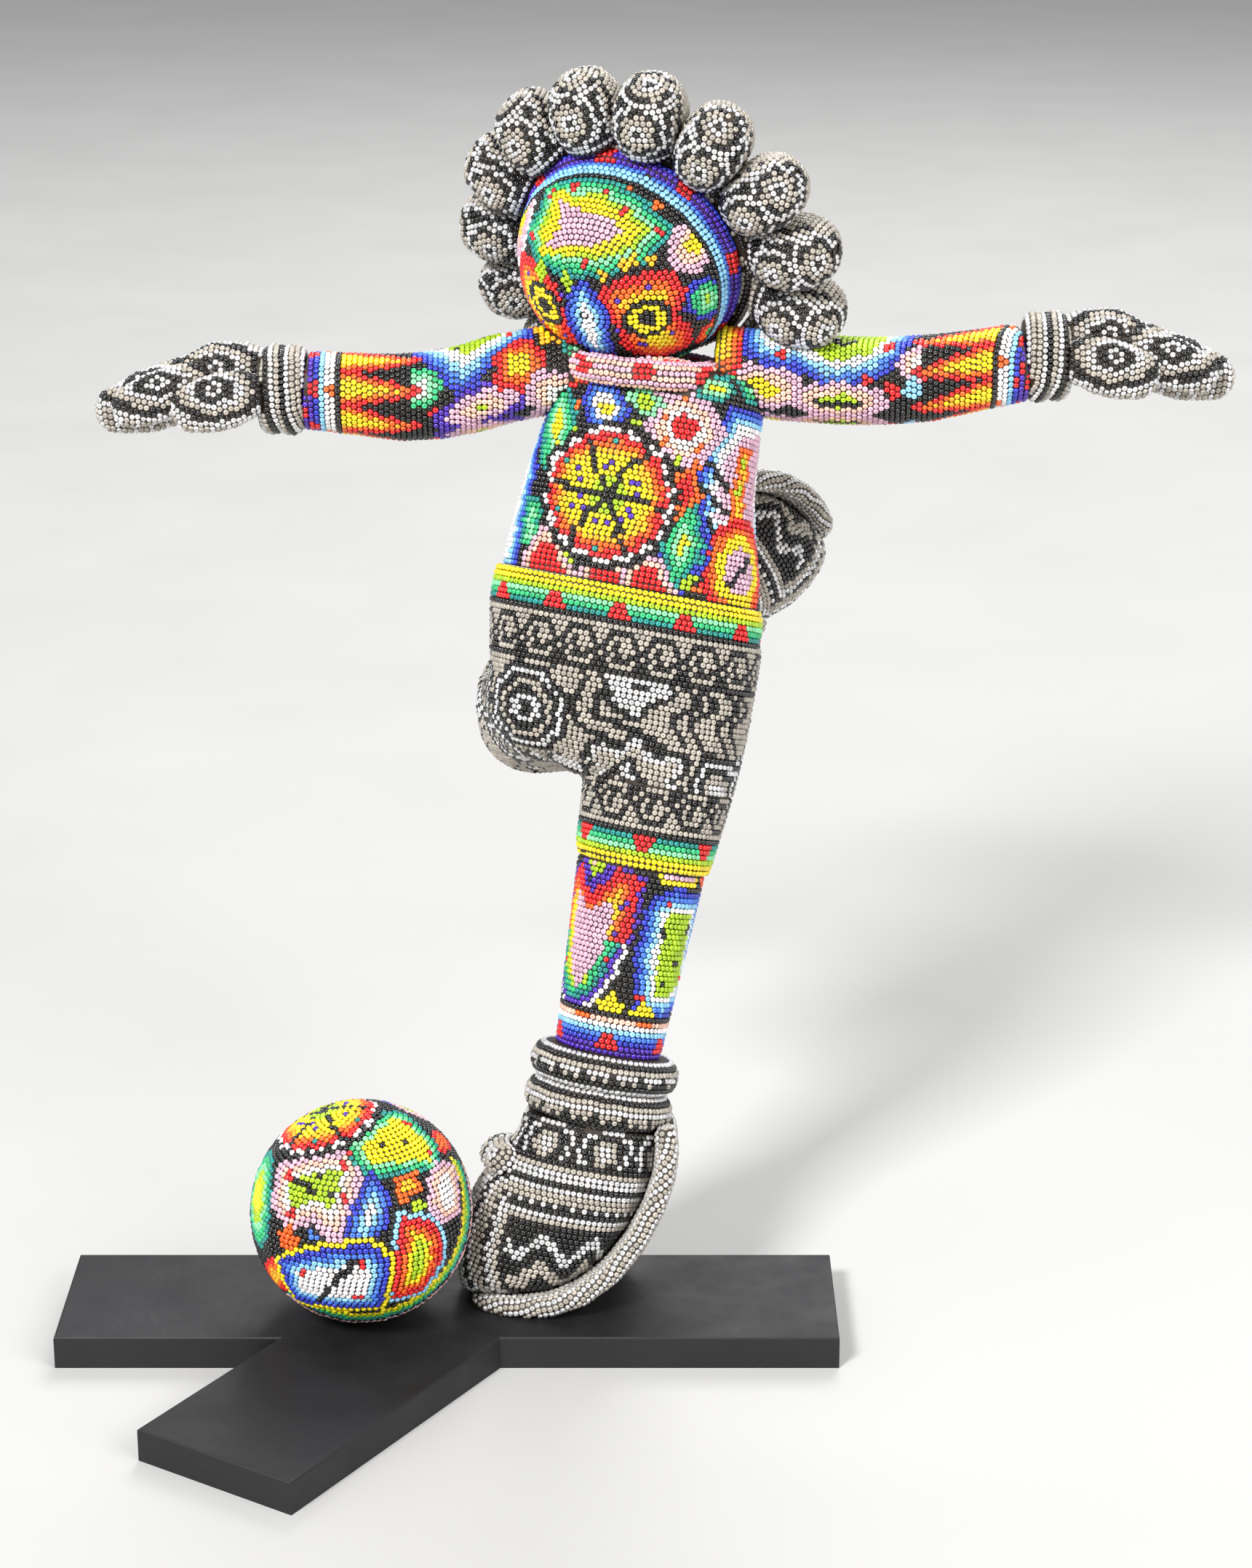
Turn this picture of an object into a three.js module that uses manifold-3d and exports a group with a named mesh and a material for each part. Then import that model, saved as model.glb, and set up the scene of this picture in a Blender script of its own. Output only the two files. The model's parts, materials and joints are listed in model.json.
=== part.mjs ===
// Beaded kicking figure on a steel base plate, in millimetres, +Z up.
// The figure is designed upright in its own frame (x across, y to the back, z up the body),
// and the whole figure then leans back about the toe of its standing shoe.
import * as THREE from 'three';
import { mergeVertices } from 'three/addons/utils/BufferGeometryUtils.js';
import Module from 'manifold-3d';

const wasm = await Module();
wasm.setup();

// ---- driving dimensions -------------------------------------------------------------
const GAP = 0.3;                 // clearance between two pieces that meet
const LEAN_BACK = 16;            // degrees, the whole figure about its toe
const BASE = { left: -160, right: 117, front: -18, back: 47, thick: 12 };
const FRONT_ARM = { turn: 57, length: 119, rootX: -2.7, width: 65 };
const TOE = { x: 0, y: 15.5 };
const BALL = { x: -52, y: 4, radius: 38.5 };
const BOLT = { radius: 3, headRadius: 6.5, headHeight: 5, washerRadius: 8, washerHeight: 1.4 };
const BOLT_LENGTH = 40;
const SCREW_LENGTH = 34;
const COUNTERBORE = { radius: 9, depth: 7.5 };

const LEG_LEAN = 10.3;           // degrees, the standing leg to the right going up
const ANKLE = new THREE.Vector3(32.9, 0, 76);
const ROLL = { radius: 26.4, height: 12.5, bulge: 6 };
const SHIN = { length: 68, ankleRadius: 18.2, kneeRadius: 22.3 };
const HEM_RADIUS = 23.6;
const WAIST = { centre: new THREE.Vector3(43, 0, 254.5), tilt: -10.5 };
const HEAD = { centre: new THREE.Vector3(44, -4, 373.3), radius: 40.8 };
const HEAD_AXIS = new THREE.Vector3(-0.42, -0.665, -0.617).normalize();
const HEAD_UP = new THREE.Vector3(-0.19, -0.601, 0.777);
const MANE = { centre: new THREE.Vector3(50.5, 4, 372.8), petals: 12, pitch: 23.7 };
const KNEE = new THREE.Vector3(13, 41, 205.5);
const RAISED_SHIN = 32;          // length of the raised shin between hem and ankle rolls
const DOWEL_RADIUS = 4.5;

const COLOURS = {
  silver: [0xa9a296, 0.45, 0.1],
  bright: [0xd8452c, 0.4, 0],
  blue: [0x3a5bd0, 0.4, 0],
  yellow: [0xf0d018, 0.4, 0],
  lilac: [0xd9a9a4, 0.4, 0],
  black: [0x1d1c1d, 0.75, 0],
  steel: [0x9a9da1, 0.35, 0.9],
  wood: [0xb98d5c, 0.8, 0],
};

const rad = THREE.MathUtils.degToRad;
const v3 = (x, y, z) => new THREE.Vector3(x, y, z);

// ---- solids -------------------------------------------------------------------------
function toSolid(geometry) {
  const bare = geometry.clone();
  for (const name of Object.keys(bare.attributes)) {
    if (name !== 'position') bare.deleteAttribute(name);
  }
  const merged = mergeVertices(bare, 1e-4);
  return new wasm.Manifold(new wasm.Mesh({
    numProp: 3,
    vertProperties: new Float32Array(merged.attributes.position.array),
    triVerts: new Uint32Array(merged.index.array),
  }));
}

function toGeometry(solid) {
  const data = solid.getMesh();
  const geometry = new THREE.BufferGeometry();
  geometry.setAttribute('position', new THREE.BufferAttribute(data.vertProperties, 3));
  geometry.setIndex(new THREE.BufferAttribute(data.triVerts, 1));
  geometry.computeVertexNormals();
  return geometry;
}

const join = (...geometries) => toGeometry(geometries.map(toSolid).reduce((a, b) => a.add(b)));

function cut(geometry, ...cutters) {
  return toGeometry(cutters.map(toSolid).reduce((a, b) => a.subtract(b), toSolid(geometry)));
}

// ---- skins --------------------------------------------------------------------------
// A closed skin through a row of rings, each end closed by a fan about its middle.
function skin(rings) {
  const sides = rings[0].length;
  const points = rings.flat();
  const faces = [];
  for (let r = 0; r + 1 < rings.length; r += 1) {
    for (let s = 0; s < sides; s += 1) {
      const a = r * sides + s;
      const b = r * sides + (s + 1) % sides;
      faces.push(a, b, a + sides, b, b + sides, a + sides);
    }
  }
  const ends = [[rings[0], 0], [rings.at(-1), (rings.length - 1) * sides]];
  ends.forEach(([ring, start], end) => {
    const middle = ring.reduce((sum, p) => sum.add(p), v3(0, 0, 0)).divideScalar(sides);
    const hub = points.push(middle) - 1;
    for (let s = 0; s < sides; s += 1) {
      const pair = [start + s, start + (s + 1) % sides];
      faces.push(hub, pair[1 - end], pair[end]);
    }
  });
  const geometry = new THREE.BufferGeometry().setFromPoints(points);
  geometry.setIndex(faces);
  return outward(geometry);
}

// The same mesh with every face looking out of the solid.
function outward(geometry) {
  const corner = [v3(0, 0, 0), v3(0, 0, 0), v3(0, 0, 0)];
  const index = geometry.index.array;
  let volume = 0;
  for (let f = 0; f < index.length; f += 3) {
    corner.forEach((point, c) => point.fromBufferAttribute(geometry.attributes.position, index[f + c]));
    volume += corner[0].dot(corner[1].clone().cross(corner[2]));
  }
  if (volume < 0) index.reverse();
  geometry.computeVertexNormals();
  return geometry;
}

// One oval ring: a superellipse whose two half axes are the vectors across and deep.
function oval(centre, across, deep, sides, power = 2) {
  const bend = (value) => Math.sign(value) * Math.abs(value) ** (2 / power);
  return Array.from({ length: sides }, (_, s) => {
    const turn = (2 * Math.PI * s) / sides;
    return centre.clone()
      .addScaledVector(across, bend(Math.cos(turn)))
      .addScaledVector(deep, bend(Math.sin(turn)));
  });
}

// A limb along a smooth path. Each key is [x, y, z, half width, half depth]; the depth lies
// near the direction deepSide. A round end closes over capStart or capEnd millimetres.
function limb(keys, options = {}, grow = 0) {
  const { steps = 8, sides = 20, power = 2, deepSide = v3(0, 1, 0) } = options;
  const { capStart = 0, capEnd = 0 } = options;
  const path = new THREE.CatmullRomCurve3(keys.map((k) => v3(k[0], k[1], k[2])));
  const size = new THREE.CatmullRomCurve3(keys.map((k) => v3(k[3], k[4], 0)));
  const ring = (centre, tangent, half, scale) => {
    const across = deepSide.clone().cross(tangent).normalize();
    const deep = tangent.clone().cross(across).normalize();
    return oval(
      centre,
      across.multiplyScalar((half.x + grow) * scale),
      deep.multiplyScalar((half.y + grow) * scale),
      sides,
      power,
    );
  };
  const cap = (t, direction, length) => {
    const tangent = path.getTangent(t);
    const centre = path.getPoint(t);
    const way = tangent.clone().multiplyScalar(direction);
    if (length === 0) return [ring(centre.addScaledVector(way, grow), tangent, size.getPoint(t), 1)];
    return [30, 58, 80].map((angle) => ring(
      centre.clone().addScaledVector(way, (length + grow) * Math.sin(rad(angle))),
      tangent,
      size.getPoint(t),
      Math.cos(rad(angle)),
    ));
  };
  const rings = cap(0, -1, capStart).reverse();
  for (let s = capStart ? 0 : 1; s <= (capEnd ? steps : steps - 1); s += 1) {
    rings.push(ring(path.getPoint(s / steps), path.getTangent(s / steps), size.getPoint(s / steps), 1));
  }
  rings.push(...cap(1, 1, capEnd));
  return skin(rings);
}

// A straight round bar between two points.
function bar(from, to, radius, sides = 8) {
  const geometry = new THREE.CylinderGeometry(radius, radius, from.distanceTo(to), sides);
  const way = to.clone().sub(from).normalize();
  geometry.applyQuaternion(new THREE.Quaternion().setFromUnitVectors(v3(0, 1, 0), way));
  const middle = from.clone().lerp(to, 0.5);
  return geometry.translate(middle.x, middle.y, middle.z);
}

const boreFor = ([from, to, radius]) => {
  const extra = to.clone().sub(from).normalize().multiplyScalar(2 * GAP);
  return bar(from.clone().sub(extra), to.clone().add(extra), radius + GAP, 8);
};

// A profile of [radius, height] points turned about the axis through origin.
function turned(profile, origin, axis, sides) {
  const geometry = new THREE.LatheGeometry(profile.map((p) => new THREE.Vector2(...p)), sides);
  geometry.applyQuaternion(new THREE.Quaternion().setFromUnitVectors(v3(0, 1, 0), axis));
  geometry.translate(origin.x, origin.y, origin.z);
  return outward(mergeVertices(strip(geometry), 1e-4));
}

function strip(geometry) {
  geometry.deleteAttribute('uv');
  geometry.deleteAttribute('normal');
  return geometry;
}

// Everything on one side of a plane, as a large block.
function halfSpace(point, normal, size = 400) {
  const block = new THREE.BoxGeometry(size, size, size);
  block.translate(0, 0, size / 2);
  block.applyQuaternion(new THREE.Quaternion().setFromUnitVectors(v3(0, 0, 1), normal));
  return block.translate(point.x, point.y, point.z);
}

// ---- the figure's frame -------------------------------------------------------------
const figure = new THREE.Group();
figure.position.set(TOE.x, TOE.y, BASE.thick + GAP);
figure.rotation.x = -rad(LEAN_BACK);
figure.updateMatrix();
const toFigure = figure.matrix.clone().invert();

const legUp = v3(Math.sin(rad(LEG_LEAN)), 0, Math.cos(rad(LEG_LEAN)));
const alongLeg = (distance) => ANKLE.clone().addScaledVector(legUp, distance);
const shinFoot = alongLeg(ROLL.height + GAP);
const shinTop = shinFoot.clone().addScaledVector(legUp, SHIN.length);
const hemCentre = shinTop.clone().addScaledVector(legUp, GAP);

// ---- dowels: [from, to, radius] ------------------------------------------------------
const headPoint = (axial, up = 0, side = 0) => {
  const right = HEAD_UP.clone().cross(HEAD_AXIS).negate().normalize();
  return HEAD.centre.clone()
    .addScaledVector(HEAD_AXIS, axial)
    .addScaledVector(HEAD_UP, up)
    .addScaledVector(right, side);
};
const DOWELS = {
  leg_dowel: [alongLeg(-34), alongLeg(140), DOWEL_RADIUS],
  raised_leg_dowel: [alongLeg(-34), alongLeg(62), DOWEL_RADIUS],
  waist_dowel: [v3(44, 0, 236), v3(47, 0, 276), 6],
  neck_dowel: [v3(54, 6, 316), v3(59, 27, 356), DOWEL_RADIUS],
  face_dowel: [headPoint(-13), headPoint(15), 6],
  left_shoulder_dowel: [v3(-18, 0, 321), v3(28, 0, 321.5), DOWEL_RADIUS],
  right_shoulder_dowel: [v3(86.5, 0, 330.5), v3(122, 0, 328.3), DOWEL_RADIUS],
  left_wrist_dowel: [v3(-96, 0, 325.5), v3(-60, 0, 323.5), 3.5],
  right_wrist_dowel: [v3(171, 0, 333.5), v3(207, 0, 338), 3.5],
};

// ---- feet: designed once, on the standing leg ----------------------------------------
function ankleRoll(start, grow = 0) {
  const { radius, height, bulge } = ROLL;
  const core = radius - bulge;
  const profile = [[0, -grow]];
  for (let angle = -90; angle <= 90; angle += 36) {
    const turn = rad(angle);
    profile.push([
      core + (bulge + grow) * Math.cos(turn),
      height / 2 + (height / 2 + grow) * Math.sin(turn),
    ]);
  }
  profile.push([0, height + grow]);
  return turned(profile, alongLeg(start), legUp, 20);
}

// The shoe's side view as pairs: [instep x, z, sole x, z, half width], from toe to ankle.
const SHOE_PAIRS = [
  [-16.6, 3.6, -11, 2.3, 8],
  [-18, 9, -3, 2, 14],
  [-18.3, 17, 8, 2.1, 18],
  [-17.2, 27, 21, 5, 21],
  [-13, 38, 32, 13, 22.4],
  [-5.5, 48.5, 41, 24, 22.8],
  [1, 55.5, 47.5, 36, 22.4],
  [4.6, 61.5, 51.5, 47, 21.8],
  [6.2, 67.3, 54, 58.8, 21],
];

function shoeUpper(grow = 0) {
  const ends = (a, b) => new THREE.CatmullRomCurve3(SHOE_PAIRS.map((p) => v3(p[a], 0, p[b])));
  const instep = ends(0, 1);
  const inner = ends(2, 3);
  const widths = new THREE.CatmullRomCurve3(SHOE_PAIRS.map((p) => v3(p[4], 0, 0)));
  const steps = 9;
  const rings = [];
  for (let s = 0; s <= steps; s += 1) {
    const top = instep.getPoint(s / steps);
    const bottom = inner.getPoint(s / steps);
    const half = bottom.clone().sub(top).multiplyScalar(0.5);
    const centre = top.clone().add(half);
    half.setLength(half.length() + grow);
    rings.push(oval(centre, half, v3(0, widths.getPoint(s / steps).x + grow, 0), 18, 2.5));
  }
  return skin(rings);
}

// The sole's middle line and half width, from the toe round to the heel.
const SOLE_KEYS = [
  [-13, 0, -1.9, 9, 3.3],
  [-8, 0, -2.2, 15, 3.3],
  [4, 0, -2.3, 20, 3.3],
  [17.5, 0, -0.6, 22.6, 3.3],
  [30.3, 0, 5.8, 23.6, 3.3],
  [41.2, 0, 16.2, 23.4, 3.3],
  [49.8, 0, 30, 22.6, 3.3],
  [54.9, 0, 43, 22, 3.3],
  [56.3, 0, 52, 21, 3.3],
  [55.6, 0, 62, 19, 3.3],
];

function shoeSole(grow = 0) {
  const keys = SOLE_KEYS.map(([x, y, z, width, half]) => [x, y, z, half, width]);
  return limb(keys, { steps: 10, sides: 12, power: 5 }, grow);
}

function instepStrap() {
  const keys = [[-2, -15, 50.5, 4.6, 5.4], [-5, 0, 51.5, 5, 6], [-2, 15, 50.5, 4.6, 5.4]];
  return limb(keys, { steps: 2, sides: 8, capStart: 3, capEnd: 3, deepSide: v3(1, 0, 0.8) });
}

function footPieces(dowel) {
  const bore = boreFor(dowel);
  const rolls = [ankleRoll(GAP / 2), ankleRoll(-ROLL.height - GAP / 2)];
  const lowRoll = ankleRoll(-ROLL.height - GAP / 2, GAP);
  const sole = shoeSole(GAP);
  return {
    roll_upper: cut(rolls[0], bore),
    roll_lower: cut(rolls[1], bore),
    shoe: cut(shoeUpper(), sole, lowRoll, bore),
    sole: cut(shoeSole(), lowRoll),
    strap: cut(instepStrap(), shoeUpper(GAP), lowRoll),
  };
}

// ---- legs and trunk -------------------------------------------------------------------
function shinShape(length, grow = 0) {
  const top = shinFoot.clone().addScaledVector(legUp, length);
  const kneeRadius = THREE.MathUtils.lerp(SHIN.ankleRadius, SHIN.kneeRadius, length / SHIN.length);
  const keys = [
    [shinFoot.x, 0, shinFoot.z, SHIN.ankleRadius, SHIN.ankleRadius],
    [top.x, 0, top.z, kneeRadius, kneeRadius],
  ];
  return limb(keys, { steps: 2, sides: 22 }, grow);
}

function torsoShape(grow = 0) {
  const keys = [
    [41.5, 0, 240, 47.5, 31],
    [43, 0, 255, 46, 31],
    [46, 0, 284, 41.3, 29],
    [52, 0, 312, 37.2, 26],
    [56, 0, 331, 36, 22],
  ];
  return limb(keys, { steps: 7, sides: 24, power: 2.2, capEnd: 5 }, grow);
}

const waistUp = v3(Math.sin(-rad(WAIST.tilt)), 0, Math.cos(rad(WAIST.tilt)));
const waistPoint = (offset) => WAIST.centre.clone().addScaledVector(waistUp, offset);

function shortsShape() {
  const pelvis = limb(
    [[43, 0, 266, 46, 31], [41.5, 0, 238, 48.5, 32.5], [44, 0, 219, 43.5, 31], [49, 0, 203, 34, 26]],
    { steps: 5, sides: 24, power: 2.2, capEnd: 12 },
  );
  const hem = hemCentre;
  const standing = limb(
    [[62, 0, 236, 28, 29], [55.8, 0, 197, 27.2, 26.5], [hem.x, 0, hem.z, HEM_RADIUS, HEM_RADIUS]],
    { steps: 5, sides: 20 },
  );
  const raised = limb(
    [
      [16, -2, 216, 23, 23],
      [14, 18, 214, 24.4, 24.4],
      [11, 32, 211, 24.6, 24.6],
      [...raisedHem.clone().addScaledVector(raisedUp, 8).toArray(), 24, 24],
      [...raisedHem.toArray(), HEM_RADIUS, HEM_RADIUS],
    ],
    { steps: 5, sides: 20, capStart: 20, deepSide: v3(-1, 0, 0.6) },
  );
  return join(pelvis, standing, raised);
}

// ---- raised foot: the same foot, turned and moved --------------------------------------
// raisedUp runs from the raised ankle to the knee; raisedToe is the way its instep faces.
const raisedUp = v3(-0.61, -0.42, -0.67).normalize();
const raisedToe = v3(0.5, 0.45, -0.74);
raisedToe.addScaledVector(raisedUp, -raisedToe.dot(raisedUp)).normalize();
const raisedHem = KNEE.clone().addScaledVector(raisedUp, -10);

function frameOf(up, toe) {
  const down = up.clone().negate();
  return new THREE.Matrix4().makeBasis(down, down.clone().cross(toe), toe);
}
const legToe = v3(-legUp.z, 0, legUp.x);
const footTurn = frameOf(raisedUp, raisedToe).multiply(frameOf(legUp, legToe).invert());
const raisedTop = shinFoot.clone().addScaledVector(legUp, RAISED_SHIN + GAP);
const footMove = new THREE.Matrix4().makeTranslation(...raisedHem.toArray())
  .multiply(footTurn)
  .multiply(new THREE.Matrix4().makeTranslation(...raisedTop.clone().negate().toArray()));

const raised = (geometry) => geometry.clone().applyMatrix4(footMove);

// ---- head -------------------------------------------------------------------------------
function arcProfile(centreRadius, centreAxial, radius, fromDegrees, toDegrees, steps) {
  return Array.from({ length: steps + 1 }, (_, i) => {
    const turn = rad(fromDegrees + ((toDegrees - fromDegrees) * i) / steps);
    return [centreRadius + radius * Math.cos(turn), centreAxial + radius * Math.sin(turn)];
  });
}

const onHead = (profile, sides) => turned(profile, HEAD.centre, HEAD_AXIS, sides);

function faceDome(grow = 0) {
  const radius = HEAD.radius - 0.8 + grow;
  const arc = arcProfile(0, 0, radius, 0, 90, 9).slice(0, -1);
  return onHead([[0, GAP / 2 - grow], [radius, GAP / 2 - grow], ...arc.slice(1), [0, radius]], 30);
}

function faceRim(grow = 0) {
  const outer = HEAD.radius + 0.6 + grow;
  const lip = arcProfile(outer - 3.4, 0.8, 3.4 + grow, -80, 80, 4);
  return onHead([[34, -2.6 - grow], ...lip, [34, 4.2 + grow], [34, -2.6 - grow]], 30);
}

function headCore(grow = 0) {
  const band = [[0, -GAP / 2 + grow], [44.5 + grow, -3 + grow], [45 + grow, -5], [44.5 + grow, -8.5]];
  const side = [[40.5 + grow, -11], [39.6 + grow, -20], [36 + grow, -28]];
  const back = [[28 + grow, -34.5 - grow], [15, -38.6 - grow], [0, -40 - grow]];
  return onHead([...band, ...side, ...back], 24);
}

// One petal of the mane, growing outwards at an angle from the top of the head.
function petal(degreesFromTop) {
  const turn = rad(degreesFromTop);
  const right = HEAD_UP.clone().cross(HEAD_AXIS).negate().normalize();
  const out = HEAD_UP.clone().multiplyScalar(Math.cos(turn)).addScaledVector(right, Math.sin(turn));
  const at = (radius, width, depth) => {
    const centre = MANE.centre.clone().addScaledVector(out, radius);
    return [...centre.toArray(), width, depth];
  };
  const keys = [
    at(41, 7.8, 5.5), at(45.5, 8.7, 8.4), at(50, 10, 12.8), at(57, 11.4, 15), at(63.5, 11.7, 13.6), at(67, 10.6, 11.6),
  ];
  return limb(keys, { steps: 5, sides: 12, power: 2.3, capEnd: 7, deepSide: HEAD_AXIS });
}

function neckRing(grow = 0) {
  const section = arcProfile(25.5, 0, 4.8 + grow, 0, 360, 7);
  const axis = v3(0.1, -0.16, 1).normalize();
  return turned(section, v3(48, -1, 332.5), axis, 22);
}

// ---- arms and hands ---------------------------------------------------------------------
const LEFT_ARM = [
  [-71.9, 0, 324.6, 13.1, 13.1], [-55, 0, 323.4, 13.6, 13.4], [-36, 0, 322, 14.8, 14],
  [-16, 0, 324.6, 15, 14.6], [3, 0, 330, 15.2, 15.2], [27, 0, 332.5, 15.2, 15],
];
const RIGHT_ARM = [
  [182.9, 0, 334.5, 13.1, 13.1], [166, 0, 331.6, 13.6, 13.4], [147, 0, 328.6, 14.6, 14],
  [128, 0, 327.9, 14.8, 14.5], [111, 0, 328.6, 15, 15], [74, 0, 332, 15, 15],
];
const LEFT_CUFF = { x: -80, z: 324.8, out: -1 };
const RIGHT_CUFF = { x: 191, z: 336.6, out: 1 };
const CUFF = { radius: 15.8, half: 7.3 };

function cuff({ x, z, out }, grow = 0) {
  const ridge = (start) => arcProfile(CUFF.radius - 4, start, 4 + grow, -70, 70, 3);
  const half = CUFF.half + grow;
  const profile = [[0, -half], [12.6, -half], ...ridge(-3.5), ...ridge(3.5), [12.6, half], [0, half]];
  return turned(profile, v3(x, 0, z), v3(out, 0, 0.06).normalize(), 18);
}

// Hand pieces are drawn for the left hand about its cuff; the right hand mirrors them.
const HAND = {
  palm: [[-8, 1, 1.5, 12, 11], [-20, 1, 4.4, 13, 11], [-32, 1, 3, 9.5, 8.5]],
  thumb: [[-12, -11, -2.4, 8, 6], [-22, -12, -5.2, 9.8, 6.8], [-32, -11, -7.4, 8, 6]],
  finger_rear: [[-30, 4, 3.2, 10, 6.2], [-46, 4.5, -3, 11, 6.6], [-60, 4, -7, 8, 5.4]],
  finger_front: [[-29, -6, 2.6, 7, 5], [-42, -7, -2.2, 8.6, 5.8], [-54, -6.6, -6.6, 7, 5]],
};
const HAND_CAPS = { palm: [0, 6], thumb: [6.5, 6.5], finger_rear: [4, 7.5], finger_front: [5, 6] };

function handPiece(name, { x, z, out }, grow = 0) {
  const keys = HAND[name].map(([dx, y, dz, width, depth]) => [x - out * dx, y, z + dz, width, depth]);
  const [capStart, capEnd] = HAND_CAPS[name];
  return limb(keys, { steps: 3, sides: 12, power: 2.3, capStart, capEnd }, grow);
}

function handPieces(place, dowel) {
  const grown = (name) => handPiece(name, place, GAP);
  const cuffHull = cuff(place, GAP);
  return {
    thumb: cut(handPiece('thumb', place), cuffHull),
    finger_front: cut(handPiece('finger_front', place), grown('thumb')),
    finger_rear: cut(handPiece('finger_rear', place), grown('thumb'), grown('finger_front')),
    palm: cut(
      handPiece('palm', place),
      grown('thumb'),
      grown('finger_front'),
      grown('finger_rear'),
      cuffHull,
      boreFor(dowel),
    ),
    cuff: cut(cuff(place), boreFor(dowel)),
  };
}

// ---- base and fastenings ------------------------------------------------------------------
function basePlate() {
  const away = rad(180 + FRONT_ARM.turn);
  const out = new THREE.Vector2(Math.cos(away), Math.sin(away));
  const side = new THREE.Vector2(out.y, -out.x).multiplyScalar(FRONT_ARM.width);
  const root = new THREE.Vector2(FRONT_ARM.rootX, BASE.front);
  const nearEnd = root.clone().addScaledVector(out, FRONT_ARM.length);
  const farEnd = nearEnd.clone().add(side);
  const inner = farEnd.clone().addScaledVector(out, (BASE.front - farEnd.y) / out.y);
  const outline = new THREE.Shape([
    root, nearEnd, farEnd, inner,
    new THREE.Vector2(BASE.left, BASE.front), new THREE.Vector2(BASE.left, BASE.back),
    new THREE.Vector2(BASE.right, BASE.back), new THREE.Vector2(BASE.right, BASE.front),
  ]);
  return new THREE.ExtrudeGeometry(outline, { depth: BASE.thick, bevelEnabled: false });
}

const upright = (x, y, low, high, radius, sides = 16) => bar(v3(x, y, low), v3(x, y, high), radius, sides);

function boltAt(x, y, length) {
  const seat = COUNTERBORE.depth - BOLT.washerHeight - GAP;
  const head = upright(x, y, seat - GAP - BOLT.headHeight, seat - GAP, BOLT.headRadius, 6);
  const shank = upright(x, y, seat - 1, seat + length, BOLT.radius);
  const washer = upright(x, y, seat, seat + BOLT.washerHeight, BOLT.washerRadius);
  return {
    bolt: join(head, shank),
    washer: cut(washer, upright(x, y, 0, length, BOLT.radius + GAP)),
    bore: upright(x, y, -1, seat + length + 1, BOLT.radius + GAP),
    counterbore: upright(x, y, -1, COUNTERBORE.depth, COUNTERBORE.radius),
  };
}

// ---- assembly -------------------------------------------------------------------------------
function node(parent, name, geometry, colour) {
  const [color, roughness, metalness] = COLOURS[colour];
  const mesh = new THREE.Mesh(geometry, new THREE.MeshStandardMaterial({ color, roughness, metalness }));
  mesh.name = name;
  parent.add(mesh);
}

const model = new THREE.Group();
model.add(figure);

const legBolt = boltAt(TOE.x + 2, TOE.y, BOLT_LENGTH);
const ballScrew = boltAt(BALL.x, BALL.y, SCREW_LENGTH);
const boltBores = [legBolt.bore, legBolt.counterbore, ballScrew.bore, ballScrew.counterbore];
node(model, 'base_plate', cut(basePlate(), ...boltBores), 'black');
node(model, 'leg_bolt', legBolt.bolt, 'steel');
node(model, 'leg_bolt_washer', legBolt.washer, 'steel');
node(model, 'ball_screw', ballScrew.bolt, 'steel');
node(model, 'ball_screw_washer', ballScrew.washer, 'steel');

const sphere = strip(new THREE.SphereGeometry(BALL.radius, 28, 18));
sphere.rotateX(Math.PI / 2);
sphere.translate(BALL.x, BALL.y, BASE.thick + GAP + BALL.radius);
node(model, 'ball', cut(sphere, ballScrew.bore), 'bright');

const FOOT_COLOURS = { roll_upper: 'silver', roll_lower: 'silver', shoe: 'silver', sole: 'silver', strap: 'silver' };
const ground = halfSpace(v3(0, 0, BASE.thick + GAP), v3(0, 0, -1)).applyMatrix4(toFigure);
const boltHole = legBolt.bore.clone().applyMatrix4(toFigure);
for (const [piece, geometry] of Object.entries(footPieces(DOWELS.leg_dowel))) {
  node(figure, `standing_${piece}`, cut(geometry, ground, boltHole), FOOT_COLOURS[piece]);
}
for (const [piece, geometry] of Object.entries(footPieces(DOWELS.raised_leg_dowel))) {
  node(figure, `raised_${piece}`, raised(geometry), FOOT_COLOURS[piece]);
}
const shinPiece = (length, dowel) => cut(shinShape(length), boreFor(dowel));
node(figure, 'standing_shin', shinPiece(SHIN.length, DOWELS.leg_dowel), 'yellow');
node(figure, 'raised_shin', raised(shinPiece(RAISED_SHIN, DOWELS.raised_leg_dowel)), 'yellow');

const raisedDowel = raised(boreFor(DOWELS.raised_leg_dowel));
const aboveWaist = halfSpace(waistPoint(-GAP / 2), waistUp);
const belowWaist = halfSpace(waistPoint(GAP / 2), waistUp.clone().negate());
const waistBore = boreFor(DOWELS.waist_dowel);
const shins = [shinShape(SHIN.length, GAP), raised(shinShape(RAISED_SHIN, GAP))];
const shortsBores = [boreFor(DOWELS.leg_dowel), raisedDowel, waistBore];
node(figure, 'shorts', cut(shortsShape(), aboveWaist, ...shins, ...shortsBores), 'silver');

const headHull = [faceDome(GAP), faceRim(GAP), headCore(GAP)];
const shoulderBores = [boreFor(DOWELS.left_shoulder_dowel), boreFor(DOWELS.right_shoulder_dowel)];
const neckBore = boreFor(DOWELS.neck_dowel);
const torsoCutters = [belowWaist, waistBore, neckBore, neckRing(GAP), ...shoulderBores, ...headHull];
node(figure, 'torso', cut(torsoShape(), ...torsoCutters), 'bright');
node(figure, 'neck_ring', cut(neckRing(), ...headHull, neckBore), 'lilac');

const faceBore = boreFor(DOWELS.face_dowel);
node(figure, 'face_dome', cut(faceDome(), faceRim(GAP), faceBore, neckBore), 'bright');
node(figure, 'face_rim', cut(faceRim(), neckBore), 'blue');
node(figure, 'head_core', cut(headCore(), faceRim(GAP), faceBore, neckBore), 'silver');

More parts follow.
